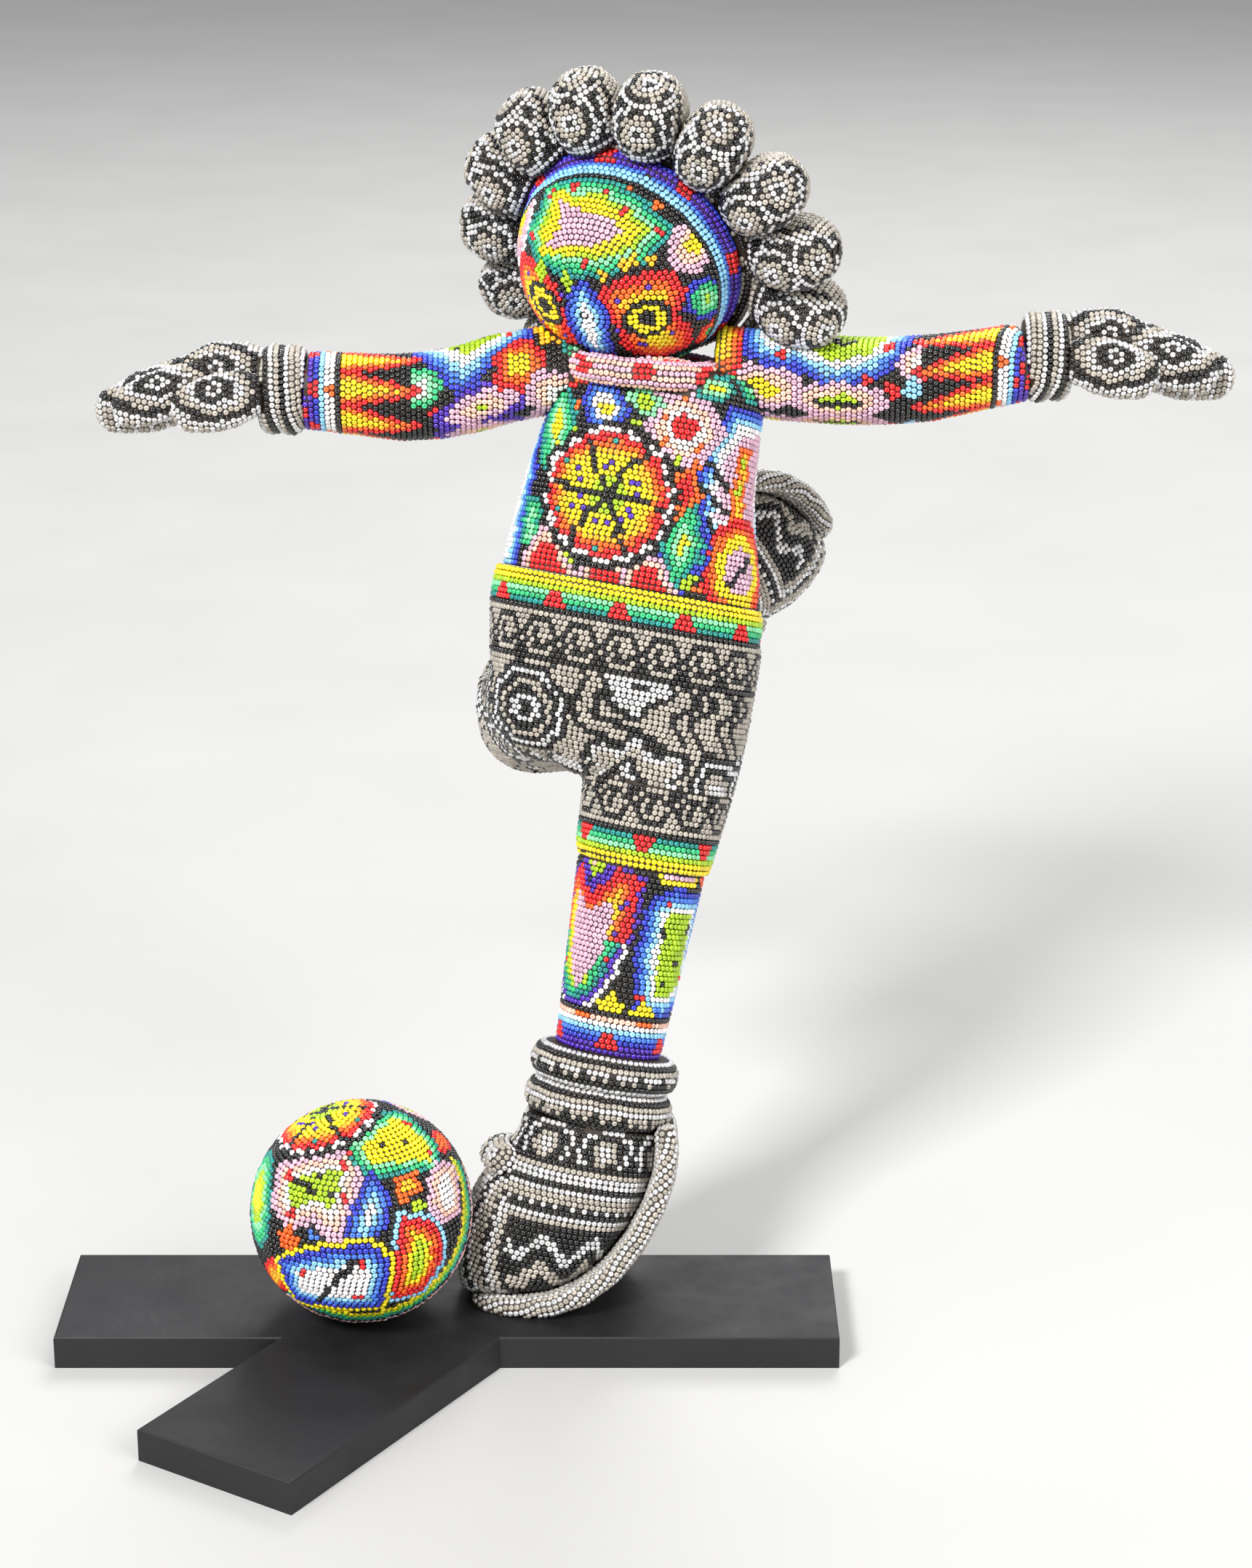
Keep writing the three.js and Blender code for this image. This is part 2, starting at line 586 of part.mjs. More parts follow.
const arms = { left_arm: LEFT_ARM, right_arm: RIGHT_ARM };
const armShape = (keys, grow = 0) => limb(keys, { steps: 8, sides: 16 }, grow);
for (const side of ['left', 'right']) {
  const bores = [boreFor(DOWELS[`${side}_shoulder_dowel`]), boreFor(DOWELS[`${side}_wrist_dowel`])];
  const place = side === 'left' ? LEFT_CUFF : RIGHT_CUFF;
  const neighbours = [torsoShape(GAP), neckRing(GAP), cuff(place, GAP), ...headHull];
  node(figure, `${side}_arm`, cut(armShape(arms[`${side}_arm`]), ...neighbours, ...bores), 'blue');
  for (const [piece, geometry] of Object.entries(handPieces(place, DOWELS[`${side}_wrist_dowel`]))) {
    node(figure, `${side}_${piece}`, geometry, 'silver');
  }
}

const petalCutters = [headCore(GAP), faceRim(GAP), torsoShape(GAP), neckRing(GAP)];
petalCutters.push(armShape(LEFT_ARM, GAP), armShape(RIGHT_ARM, GAP));
for (let p = 0; p < MANE.petals; p += 1) {
  const degrees = (p - (MANE.petals - 1) / 2) * MANE.pitch;
  node(figure, `mane_petal_${p + 1}`, cut(petal(degrees), ...petalCutters), 'silver');
}

for (const [name, [from, to, radius]] of Object.entries(DOWELS)) {
  const dowel = bar(from, to, radius);
  node(figure, name, name === 'raised_leg_dowel' ? raised(dowel) : dowel, 'wood');
}

// The frame's origin is the middle of the whole object's footprint, on the table.
model.updateMatrixWorld(true);
const box = new THREE.Box3().setFromObject(model, true);
const middle = box.getCenter(v3(0, 0, 0));
model.position.set(-middle.x, -middle.y, -box.min.z);

export default model;
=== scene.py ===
"""Beaded kicking figure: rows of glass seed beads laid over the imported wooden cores.

Each beaded core is remeshed to an even skin. Distances along that skin from a seed line give
the rows, each row is cut into beads, and a painter for that piece picks each bead's colour
from u (round the piece, from its front) and s (along the piece, from where the rows start).
Lengths in this file are millimetres; they become metres where objects are made.
"""
import heapq
import itertools
import json
import math

import bmesh
import bpy
import numpy as np
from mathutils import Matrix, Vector
from mathutils.bvhtree import BVHTree

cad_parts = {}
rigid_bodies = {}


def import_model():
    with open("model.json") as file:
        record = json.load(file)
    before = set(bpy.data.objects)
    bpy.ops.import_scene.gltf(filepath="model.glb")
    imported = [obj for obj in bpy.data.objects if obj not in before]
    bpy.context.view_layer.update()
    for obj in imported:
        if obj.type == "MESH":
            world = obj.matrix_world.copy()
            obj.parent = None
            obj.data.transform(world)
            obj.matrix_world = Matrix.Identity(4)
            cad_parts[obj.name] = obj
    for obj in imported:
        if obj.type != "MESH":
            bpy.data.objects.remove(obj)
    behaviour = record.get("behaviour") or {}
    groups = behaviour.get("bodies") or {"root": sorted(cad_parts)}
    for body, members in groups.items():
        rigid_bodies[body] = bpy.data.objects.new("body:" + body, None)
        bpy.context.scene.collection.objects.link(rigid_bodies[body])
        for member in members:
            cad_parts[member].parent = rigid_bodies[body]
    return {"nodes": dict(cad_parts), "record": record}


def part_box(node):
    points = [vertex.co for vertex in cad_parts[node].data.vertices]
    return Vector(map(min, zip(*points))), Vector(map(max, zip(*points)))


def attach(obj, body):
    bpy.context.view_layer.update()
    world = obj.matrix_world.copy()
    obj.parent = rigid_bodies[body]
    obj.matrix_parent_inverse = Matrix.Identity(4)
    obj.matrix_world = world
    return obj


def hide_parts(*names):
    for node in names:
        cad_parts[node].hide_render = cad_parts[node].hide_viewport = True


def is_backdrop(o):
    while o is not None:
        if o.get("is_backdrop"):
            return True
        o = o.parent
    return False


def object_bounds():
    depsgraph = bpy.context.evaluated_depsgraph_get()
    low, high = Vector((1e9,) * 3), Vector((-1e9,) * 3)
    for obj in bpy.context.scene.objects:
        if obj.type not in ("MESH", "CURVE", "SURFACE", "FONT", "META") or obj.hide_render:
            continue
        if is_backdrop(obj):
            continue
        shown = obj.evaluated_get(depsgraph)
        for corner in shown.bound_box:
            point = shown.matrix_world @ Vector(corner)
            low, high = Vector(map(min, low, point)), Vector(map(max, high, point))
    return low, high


for default in list(bpy.data.objects):
    bpy.data.objects.remove(default)
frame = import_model()
cad_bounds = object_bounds()

MM = 0.001
SEED = 11
BEAD_PITCH = 2.12           # along a row
ROW_STEP = 1.92             # from row to row
BEAD_RADIUS = 1.07
BEAD_SEAT = 0.35            # bead centre above the core
SKIN_VOXEL = 1.5
BEADS_PER_OBJECT = 3400
SEAM_CLEARANCE = 0.3        # a bead this close to another core is left out
BEAD_CLEARANCE = 1.55       # two beads are never closer than this
FIRST_ROW = 0.6             # of a row's step, from where the rows start
LAST_ROW_ROOM = 0.3         # left beyond the last row
CELL = 2                    # side of the cells that places are looked up in
TILT_SPREAD = 0.07          # how far beads lean, turn, vary in size and sit uneven
TURN_SPREAD = 0.2
SIZE_SPREAD = 0.03
SEAT_SPREAD = 0.05

# ---- the figure's frame: x across, n to its back, w up its body
LEAN_BACK = math.radians(16)
ACROSS = np.array([1.0, 0.0, 0.0])
VERTICAL = np.array([0.0, 0.0, 1.0])
BACKWARD = np.array([0.0, math.cos(LEAN_BACK), -math.sin(LEAN_BACK)])
UPWARD = np.array([0.0, math.sin(LEAN_BACK), math.cos(LEAN_BACK)])
FRONT = -BACKWARD

LEG_LEAN = math.radians(10.3)
WAIST_TILT = math.radians(10.5)


def direction(x, n, w):
    way = ACROSS * x + BACKWARD * n + UPWARD * w
    return way / np.linalg.norm(way)


LEG_UP = direction(math.sin(LEG_LEAN), 0, math.cos(LEG_LEAN))
LEG_TOE = direction(-math.cos(LEG_LEAN), 0, math.sin(LEG_LEAN))
WAIST_UP = direction(math.sin(WAIST_TILT), 0, math.cos(WAIST_TILT))
RAISED_UP = direction(-0.61, -0.42, -0.67)
RAISED_TOE = direction(0.5, 0.45, -0.74)
HEAD_AXIS = direction(-0.42, -0.665, -0.617)
HEAD_UP = direction(-0.19, -0.601, 0.777)
HEAD_LEFT = np.cross(HEAD_AXIS, HEAD_UP)        # as the viewer sees it
FACE_RADIUS = 40.0
FACE_EDGE = 60.0            # from the middle of the face to its edge, along the dome
BALL_RADIUS = 38.5
BALL_FACING = np.array([0.074, -0.896, 0.437])      # from the ball's middle to the viewer
ARM_SIGHT = 8.0             # the middle of what is seen of an arm, above its front line
PETALS = 12
PETAL_PITCH = math.radians(23.7)


def add_object(name, data):
    made = bpy.data.objects.new(name, data)
    bpy.context.scene.collection.objects.link(made)
    return made


def node_centre(node):
    low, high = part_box(node)
    return np.array((low + high) / 2) / MM


def toe_point():
    """The point on the plate that the figure leans about."""
    bolt, plate = node_centre("leg_bolt"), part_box("base_plate")[1]
    return np.array([bolt[0] - 2, bolt[1], plate.z / MM + 0.3])


TOE = toe_point()


def from_toe(x, n, w):
    return TOE + ACROSS * x + BACKWARD * n + UPWARD * w


HEM_CENTRE = from_toe(49.3, 0, 157.5)   # middle of the open end of the standing leg
HEM_HEIGHT = 29.3                       # rows this close to the hem run parallel to it
HEM_REACH = 36                          # and this close to the leg's middle line


# ---- colours
def linear(code):
    """A colour written as red, green, blue hex digits, as linear light."""
    parts = [int(code[i:i + 2], 16) / 255 for i in (0, 2, 4)]
    return [c / 12.92 if c <= 0.04045 else ((c + 0.055) / 1.055) ** 2.4 for c in parts]


# a finish is roughness, metallic and coat
OPAQUE = (0.34, 0.0, 0.5)
GLOSSY = (0.32, 0.0, 0.5)
BEADS = {
    "black": ("0c0b0d", 0.22, 0.0, 0.6),
    "stone": ("aaa296", *OPAQUE),
    "silver": ("d9d8d8", 0.14, 0.35, 1.0),
    "white": ("f2efee", 0.3, 0.0, 0.5),
    "yellow": ("f6dc0a", *OPAQUE),
    "gold": ("fdb515", *OPAQUE),
    "orange": ("fb6410", *OPAQUE),
    "red": ("e0151a", *GLOSSY),
    "lime": ("a8cc12", *OPAQUE),
    "mint": ("86dba0", *OPAQUE),
    "green": ("2bb673", *OPAQUE),
    "teal": ("0d8880", *OPAQUE),
    "blue": ("2733b4", *GLOSSY),
    "azure": ("3f74dc", *GLOSSY),
    "sky": ("8cc8ea", *GLOSSY),
    "purple": ("4a23a8", *GLOSSY),
    "lilac": ("d7acc0", *OPAQUE),
    "peach": ("eebfa8", *OPAQUE),
}
COLOUR_NAMES = list(BEADS)
COLOUR = {name: i for i, name in enumerate(COLOUR_NAMES)}
SHADES = (0.82, 1.0, 1.15)
GLASS_IOR = 1.52


def new_material(name):
    material = bpy.data.materials.new(name)
    material.use_nodes = True
    shader = material.node_tree.nodes["Principled BSDF"]
    return material, material.node_tree, shader


def set_inputs(node, values):
    for name, value in values.items():
        node.inputs[name].default_value = value


def noise(tree, scale, detail=4.0, low=0.0, high=1.0):
    """Object-space noise mapped to low..high; its result socket."""
    coords = tree.nodes.new("ShaderNodeTexCoord")
    texture = tree.nodes.new("ShaderNodeTexNoise")
    set_inputs(texture, {"Scale": scale, "Detail": detail})
    tree.links.new(coords.outputs["Object"], texture.inputs["Vector"])
    spread = tree.nodes.new("ShaderNodeMapRange")
    set_inputs(spread, {"From Min": 0.3, "From Max": 0.7, "To Min": low, "To Max": high})
    tree.links.new(texture.outputs["Fac"], spread.inputs["Value"])
    return spread.outputs["Result"]


def bead_glass(colour, shade):
    code, roughness, metallic, coat = BEADS[colour]
    material, tree, shader = new_material(f"bead_{colour}_{shade + 1}")
    tone = [min(1.0, c * SHADES[shade]) for c in linear(code)]
    set_inputs(shader, {"Base Color": (*tone, 1), "Roughness": roughness, "Metallic": metallic,
                        "IOR": GLASS_IOR, "Coat Weight": coat})
    tree.links.new(noise(tree, 900, 2, 0.04, 0.22), shader.inputs["Coat Roughness"])
    tree.links.new(noise(tree, 500, 2, 0.4, 0.65), shader.inputs["Specular IOR Level"])
    return material


def mixed(tree, factor, first, second):
    mix = tree.nodes.new("ShaderNodeMix")
    mix.data_type = "RGBA"
    tree.links.new(factor, mix.inputs["Factor"])
    set_inputs(mix, {"A": (*first, 1), "B": (*second, 1)})
    return mix.outputs["Result"]


def bump(tree, height, strength, distance):
    node = tree.nodes.new("ShaderNodeBump")
    set_inputs(node, {"Strength": strength, "Distance": distance})
    tree.links.new(height, node.inputs["Height"])
    return node.outputs["Normal"]


def surface(name, first, second, scale, roughness, metallic=0.0, grain=0.15, depth=0.0003):
    """A painted, waxed, turned or plated finish: two tones, uneven gloss and a fine grain."""
    material, tree, shader = new_material(name)
    tree.links.new(mixed(tree, noise(tree, scale), first, second), shader.inputs["Base Color"])
    tree.links.new(noise(tree, scale * 2, 4, *roughness), shader.inputs["Roughness"])
    tree.links.new(bump(tree, noise(tree, scale * 9), grain, depth), shader.inputs["Normal"])
    shader.inputs["Metallic"].default_value = metallic
    return material


WAX = surface("beeswax", linear("241c14"), linear("3a2d1e"), 60, (0.5, 0.7))
PAINT = surface("black_paint", linear("0e0e10"), linear("17171a"), 25, (0.5, 0.68), grain=0.25)
STEEL = surface("zinc_plating", linear("8f9296"), linear("b3b5b6"), 150, (0.28, 0.45), 0.9)
BEECH = surface("beech", linear("a9814f"), linear("c69f6c"), 90, (0.55, 0.75))


# ---- skins and rows
def even_skin(node):
    """The core remeshed to small even faces, facets smoothed: points, triangles, normals."""
    copy = add_object("skin", frame["nodes"][node].data.copy())
    remesh = copy.modifiers.new("remesh", "REMESH")
    remesh.mode = "VOXEL"
    remesh.voxel_size = SKIN_VOXEL * MM
    smooth = copy.modifiers.new("smooth", "SMOOTH")
    smooth.factor = 0.5
    smooth.iterations = 4
    made = copy.evaluated_get(bpy.context.evaluated_depsgraph_get()).to_mesh()
    made.calc_loop_triangles()
    points = np.empty(len(made.vertices) * 3)
    made.vertices.foreach_get("co", points)
    normals = np.empty(len(made.vertices) * 3)
    made.vertices.foreach_get("normal", normals)
    triangles = np.empty(len(made.loop_triangles) * 3, int)
    made.loop_triangles.foreach_get("vertices", triangles)
    bpy.data.objects.remove(copy)
    return points.reshape(-1, 3) / MM, triangles.reshape(-1, 3), normals.reshape(-1, 3)


def arrival(a, b, c, value_a, value_b):
    """When a straight front that reaches a and b at the given values reaches c."""
    ab = [b[k] - a[k] for k in range(3)]
    ac = [c[k] - a[k] for k in range(3)]
    base = math.sqrt(ab[0] ** 2 + ab[1] ** 2 + ab[2] ** 2) or 1e-9
    x = (ab[0] * ac[0] + ab[1] * ac[1] + ab[2] * ac[2]) / base
    reach = ac[0] ** 2 + ac[1] ** 2 + ac[2] ** 2
    y = math.sqrt(max(reach - x * x, 0.0))
    slope = (value_b - value_a) / base
    if abs(slope) < 1:
        rise = math.sqrt(1 - slope * slope)
        foot = x - y * slope / rise if rise > 1e-6 else -1.0
        if 0 <= foot <= base:
            return value_a + slope * x + rise * y
    along = math.sqrt((x - base) ** 2 + y * y)
    return min(value_a + math.sqrt(reach), value_b + along)


def distances(points, triangles, start):
    """Distance along the skin from the seeds (index: own value), by fast marching."""
    place = points.tolist()
    around = [[] for _ in place]
    for i, j, k in triangles.tolist():
        around[i].append((j, k))
        around[j].append((k, i))
        around[k].append((i, j))
    value = [math.inf] * len(place)
    known = [False] * len(place)
    for i, own in start.items():
        value[i] = own
    front = [(own, i) for i, own in start.items()]
    heapq.heapify(front)
    while front:
        own, i = heapq.heappop(front)
        if known[i]:
            continue
        known[i] = True
        for pair in around[i]:
            for target, other in (pair, pair[::-1]):
                if known[target]:
                    continue
                if known[other]:
                    reach = arrival(place[i], place[other], place[target], own, value[other])
                else:
                    reach = own + math.dist(place[i], place[target])
                if reach < value[target]:
                    value[target] = reach
                    heapq.heappush(front, (reach, target))
    return np.array(value)


def loops_at(level, triangles, values):
    """Closed chains of mesh edges that the level crosses, in order."""
    above = values[triangles] > level
    crossed = triangles[above.any(1) & ~above.all(1)].tolist()
    sides = {}
    for index, corners in enumerate(crossed):
        for a, b in zip(corners, corners[1:] + corners[:1]):
            if (values[a] > level) != (values[b] > level):
                sides.setdefault((min(a, b), max(a, b)), []).append(index)
    edges_of = [[] for _ in crossed]
    for edge, owners in sides.items():
        for owner in owners:
            edges_of[owner].append(edge)
    used = [False] * len(crossed)
    for first in range(len(crossed)):
        if used[first]:
            continue
        chain, here, edge = [], first, edges_of[first][0]
        while not used[here]:
            used[here] = True
            pair = edges_of[here]
            edge = pair[1] if pair[0] == edge else pair[0]
            chain.append(edge)
            owners = sides[edge]
            here = owners[0] if owners[-1] == here else owners[-1]
        yield chain


def on_edges(chain, level, values, data):
    a, b = np.array(chain).T
    share = ((level - values[a]) / (values[b] - values[a]))[:, None]
    return data[a] * (1 - share) + data[b] * share


def front_start(points, front):
    """Where a closed row passes the front: a fractional index, and whether it runs backwards.

    Rows run to the viewer's right, or upwards where they go round an arm.
    """
    middle = points.mean(0)
    around = np.cross(points - middle, np.roll(points, -1, 0) - middle).sum(0)
    side = np.cross(around, front)
    side = side - front * (side @ front)
    side /= max(np.linalg.norm(side), 1e-9)
    if side @ (ACROSS + 0.5 * UPWARD) < 0:
        side = -side
    away = points - middle
    angle = np.arctan2(away @ side, away @ front)
    following = np.roll(angle, -1)
    passes = (angle < 0) != (following < 0)
    passes &= np.abs(angle) + np.abs(following) < math.pi
    if not passes.any():
        return 0.0, False
    at = int(np.argmax(passes))
    share = angle[at] / (angle[at] - following[at])
    return at + float(share), angle[at] > 0


TANGENT_STEP = 0.4
SHORTEST_ROW = 0.8          # of a bead's pitch


def at_lengths(data, lengths, at):
    """Rows of data, known at the given lengths, between them."""
    return np.stack([np.interp(at, lengths, data[:, k]) for k in range(3)], 1)


def beads_on_row(points, normals, row, front):
    """Beads evenly spaced on one closed row: place, normal, tangent, u, row length."""
    for _ in range(2):
        points = (np.roll(points, 1, 0) + 2 * points + np.roll(points, -1, 0)) / 4
    start, backwards = front_start(points, front)
    steps = np.linalg.norm(np.roll(points, -1, 0) - points, axis=1)
    length = steps.sum()
    if length < SHORTEST_ROW * BEAD_PITCH:
        return None
    count = max(1, round(length / BEAD_PITCH))
    lengths = np.concatenate([[0], np.cumsum(steps)])
    whole = int(start) % len(points)
    offset = lengths[whole] + (start - int(start)) * steps[whole]
    walk = (np.arange(count) + 0.5 * (row % 2)) * length / count
    at = (offset + (-walk if backwards else walk)) % length
    closed = np.vstack([points, points[:1]])
    closed_normals = np.vstack([normals, normals[:1]])
    place, normal = at_lengths(closed, lengths, at), at_lengths(closed_normals, lengths, at)
    tangent = at_lengths(closed, lengths, (at + TANGENT_STEP) % length) - place
    u = np.where(walk > length / 2, walk - length, walk)
    return place, normal, tangent, u, np.full(count, length)


def unit(rows):
    return rows / np.maximum(np.linalg.norm(rows, axis=1), 1e-9)[:, None]


def axial_seeds(axis, depth=2.5):
    def seeds(points):
        along = points @ axis
        along = along - along.min()
        return {int(i): float(along[i]) for i in np.flatnonzero(along < depth)}
    return seeds


def contact_seeds(neighbour, reach=1.3):
    """Seeds where this piece lies against a neighbour, so that its rows follow the seam."""
    tree = core_tree(neighbour)

    def seeds(points):
        found = {}
        for i, point in enumerate(points.tolist()):
            nearest = tree.find_nearest(Vector(point) * MM, reach * MM)
            if nearest[0] is not None:
                found[i] = 0.0
        return found
    return seeds


_trees = {}


def core_tree(node):
    if node not in _trees:
        mesh = frame["nodes"][node].data
        corners = [v.co.copy() for v in mesh.vertices]
        _trees[node] = BVHTree.FromPolygons(corners, [tuple(p.vertices) for p in mesh.polygons])
    return _trees[node]


def boxes_meet(first, second, margin=2.0):
    (low_a, high_a), (low_b, high_b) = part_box(first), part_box(second)
    gap = margin * MM
    return all(low_a[k] - gap < high_b[k] and low_b[k] - gap < high_a[k] for k in range(3))


class Beads:
    """The beads of one piece, as parallel arrays."""

    def __init__(self, place, normal, tangent, u, length, s, row):
        self.place, self.normal, self.tangent = place, unit(normal), unit(tangent)
        self.u, self.length, self.s, self.row = u, length, s, row
        self.colour = np.zeros(len(u), int)

    def keep(self, wanted):
        for name in ("place", "normal", "tangent", "u", "length", "s", "row", "colour"):
            setattr(self, name, getattr(self, name)[wanted])

    def paint(self, where, colour):
        self.colour[where] = COLOUR[colour]

    def ground(self, colour):
        self.colour[:] = COLOUR[colour]

    def layers(self, depth, bands, where=True):
        """Bands from depth 0 inwards, each "colour thickness"; a last colour alone runs on."""
        start = 0.0
        for band in bands.split(","):
            colour, *thickness = band.split()
            end = start + float(thickness[0]) if thickness else math.inf
            self.paint((depth >= start) & (depth < end) & where, colour)
            start = end


def lay_beads(node, seeds, front=FRONT):
    points, triangles, normals = even_skin(node)
    values = distances(points, triangles, seeds(points))
    parts = []
    rows = int((values[np.isfinite(values)].max() - LAST_ROW_ROOM) / ROW_STEP) + 1
    for row in range(rows):
        level = FIRST_ROW * ROW_STEP + row * ROW_STEP
        for chain in loops_at(level, triangles, values):
            if len(chain) < 3:
                continue
            line, facing = (on_edges(chain, level, values, data) for data in (points, normals))
            made = beads_on_row(line, facing, row, front)
            if made:
                count = len(made[3])
                parts.append((*made, np.full(count, level), np.full(count, row)))
    summit = int(np.argmax(np.where(np.isfinite(values), values, 0)))
    parts.append((points[[summit]], normals[[summit]], ACROSS[None], np.zeros(1), np.ones(1),
                  values[[summit]], np.full(1, rows)))
    return Beads(*(np.concatenate(column) for column in zip(*parts)))


taken = {}


def room_for(point):
    """Whether no bead is too close to this place; if so the place is taken."""
    cell = tuple(int(c // CELL) for c in point)
    for step in itertools.product((-1, 0, 1), repeat=3):
        for other in taken.get(tuple(map(sum, zip(cell, step))), ()):
            if math.dist(point, other) < BEAD_CLEARANCE:
                return False
    taken.setdefault(cell, []).append(point)
    return True


def clear_of_neighbours(node, beads):
    near = [core_tree(n) for n in frame["nodes"] if n != node and boxes_meet(node, n)]
    wanted = []
    centres = (beads.place + beads.normal * BEAD_SEAT).tolist()
    for centre in centres:
        at = Vector(centre) * MM
        free = all(t.find_nearest(at, SEAM_CLEARANCE * MM)[0] is None for t in near)
        wanted.append(free and room_for(centre))
    beads.keep(np.array(wanted, bool))


# ---- bead geometry
BEAD_SIDES = 7
BEAD_PROFILE = ((0.13, 0.6), (0.62, 0.72), (1.0, 0.2), (0.86, -0.6))   # radius, height


def bead_template():
    points = [
        (radius * math.cos(turn), radius * math.sin(turn), height)
        for radius, height in BEAD_PROFILE
        for turn in (2 * math.pi * k / BEAD_SIDES for k in range(BEAD_SIDES))
    ]
    rings = len(BEAD_PROFILE)
    faces = []
    for ring in range(rings):
        for side in range(BEAD_SIDES):
            a = ring * BEAD_SIDES + side
            b = ring * BEAD_SIDES + (side + 1) % BEAD_SIDES
            shift = ((ring + 1) % rings - ring) * BEAD_SIDES
            faces.append((a + shift, b + shift, b, a))
    return np.array(points) * BEAD_RADIUS, np.array(faces)


BEAD_POINTS, BEAD_FACES = bead_template()


def bead_mesh(name, beads, chosen, random):
    """One mesh for the chosen beads, each a small ring turned, tilted and sized a little apart."""
    count = len(chosen)
    normal = unit(beads.normal[chosen] + random.normal(0, TILT_SPREAD, (count, 3)))
    tangent = beads.tangent[chosen] + random.normal(0, TURN_SPREAD, (count, 3))
    side = unit(np.cross(normal, tangent))
    ahead = np.cross(side, normal)
    size = random.normal(1, SIZE_SPREAD, count)[:, None, None]
    basis = np.stack([ahead, side, normal], 1)
    seat = BEAD_SEAT + random.normal(0, SEAT_SPREAD, (count, 1))
    centre = beads.place[chosen] + beads.normal[chosen] * seat
    points = np.einsum("pk,bkx->bpx", BEAD_POINTS, basis) * size + centre[:, None, :]
    faces = BEAD_FACES[None] + (np.arange(count) * len(BEAD_POINTS))[:, None, None]
    mesh = bpy.data.meshes.new(name)
    mesh.vertices.add(count * len(BEAD_POINTS))
    mesh.vertices.foreach_set("co", (points * MM).ravel())
    mesh.loops.add(faces.size)
    mesh.loops.foreach_set("vertex_index", faces.ravel())
    mesh.polygons.add(faces.size // 4)
    mesh.polygons.foreach_set("loop_start", np.arange(0, faces.size, 4))
    mesh.polygons.foreach_set("use_smooth", np.ones(faces.size // 4, bool))
    shade = random.choice(len(SHADES), count, p=(0.25, 0.5, 0.25))
    kinds, which = np.unique(beads.colour[chosen] * len(SHADES) + shade, return_inverse=True)
    for kind in kinds.tolist():
        mesh.materials.append(glass(kind))
    mesh.polygons.foreach_set("material_index", np.repeat(which.ravel(), len(BEAD_FACES)))
    mesh.update(calc_edges=True)
    return mesh


_glass = {}


def glass(kind):
    if kind not in _glass:
        _glass[kind] = bead_glass(COLOUR_NAMES[kind // len(SHADES)], kind % len(SHADES))
    return _glass[kind]


CORE_UNDER = {"shorts_hem": "shorts"}       # a set of rows on a core that has rows of its own
SLOTS = {part["node"]: part["material_slot"] for part in frame["record"]["subparts"]}


def add_beads(node, beads):
    random = np.random.default_rng([SEED, *node.encode()])
    order = np.arange(len(beads.u))
    groups = np.array_split(order, max(1, math.ceil(len(order) / BEADS_PER_OBJECT)))
    for number, chosen in enumerate(groups, 1):
        name = f"{node}_beads" + (f"_{number}" if len(groups) > 1 else "")
        piece = add_object(name, bead_mesh(name, beads, chosen, random))
        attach(piece, "root")


# ---- shapes that motifs are drawn with: each gives how deep a place (u, s) is inside it
OUTLINE_GROWTH = 1.1        # polygons meet with about one dark bead between them


def turned(du, ds, degrees):
    turn = math.radians(degrees)
    return du * math.cos(turn) + ds * math.sin(turn), ds * math.cos(turn) - du * math.sin(turn)


def oval(at, half_u, half_s, degrees=0):
    def depth(u, s):
        du, ds = turned(u - at[0], s - at[1], degrees)
        return (1 - np.hypot(du / half_u, ds / half_s)) * min(half_u, half_s)
    return depth


def diamond(at, half_u, half_s, degrees=0):
    def depth(u, s):
        du, ds = turned(u - at[0], s - at[1], degrees)
        return (1 - np.abs(du) / half_u - np.abs(ds) / half_s) * min(half_u, half_s) * 0.8
    return depth


def block(at, half_u, half_s, degrees=0):
    def depth(u, s):
        du, ds = turned(u - at[0], s - at[1], degrees)
        return np.minimum(half_u - np.abs(du), half_s - np.abs(ds))
    return depth


def flower(at, radius, petals, wave=0.18):
    def depth(u, s):
        du, ds = u - at[0], s - at[1]
        return radius - np.hypot(du, ds) / (1 + wave * np.cos(petals * np.arctan2(ds, du)))
    return depth


def from_middle(at, reach, turn):
    return at[0] + reach * math.cos(turn), at[1] + reach * math.sin(turn)


def off_line(u, s, start, end):
    """How far a place is from the straight line between two points."""
    along, up = end[0] - start[0], end[1] - start[1]
    du, ds = u - start[0], s - start[1]
    share = np.clip((du * along + ds * up) / (along * along + up * up), 0, 1)
    return np.hypot(du - share * along, ds - share * up)


def polygon(corners, grow=0.0):
    """A shape of listed corners, grown outwards."""
    def depth(u, s):
        edge = np.full(len(u), np.inf)
        inside = np.zeros(len(u), bool)
        for (ax, ay), (bx, by) in zip(corners, corners[1:] + corners[:1]):
            edge = np.minimum(edge, off_line(u, s, (ax, ay), (bx, by)))
            if ay != by:
                crosses = (ay > s) != (by > s)
                inside ^= crosses & (u < (bx - ax) * (s - ay) / (by - ay) + ax)
        return np.where(inside, edge, -edge) + OUTLINE_GROWTH + grow
    return depth


def repeat(u, length, pitch):
    """Position within a cell that repeats a whole number of times round the row."""
    size = length / np.maximum(1, np.round(length / pitch))
    return u - np.round(u / size) * size


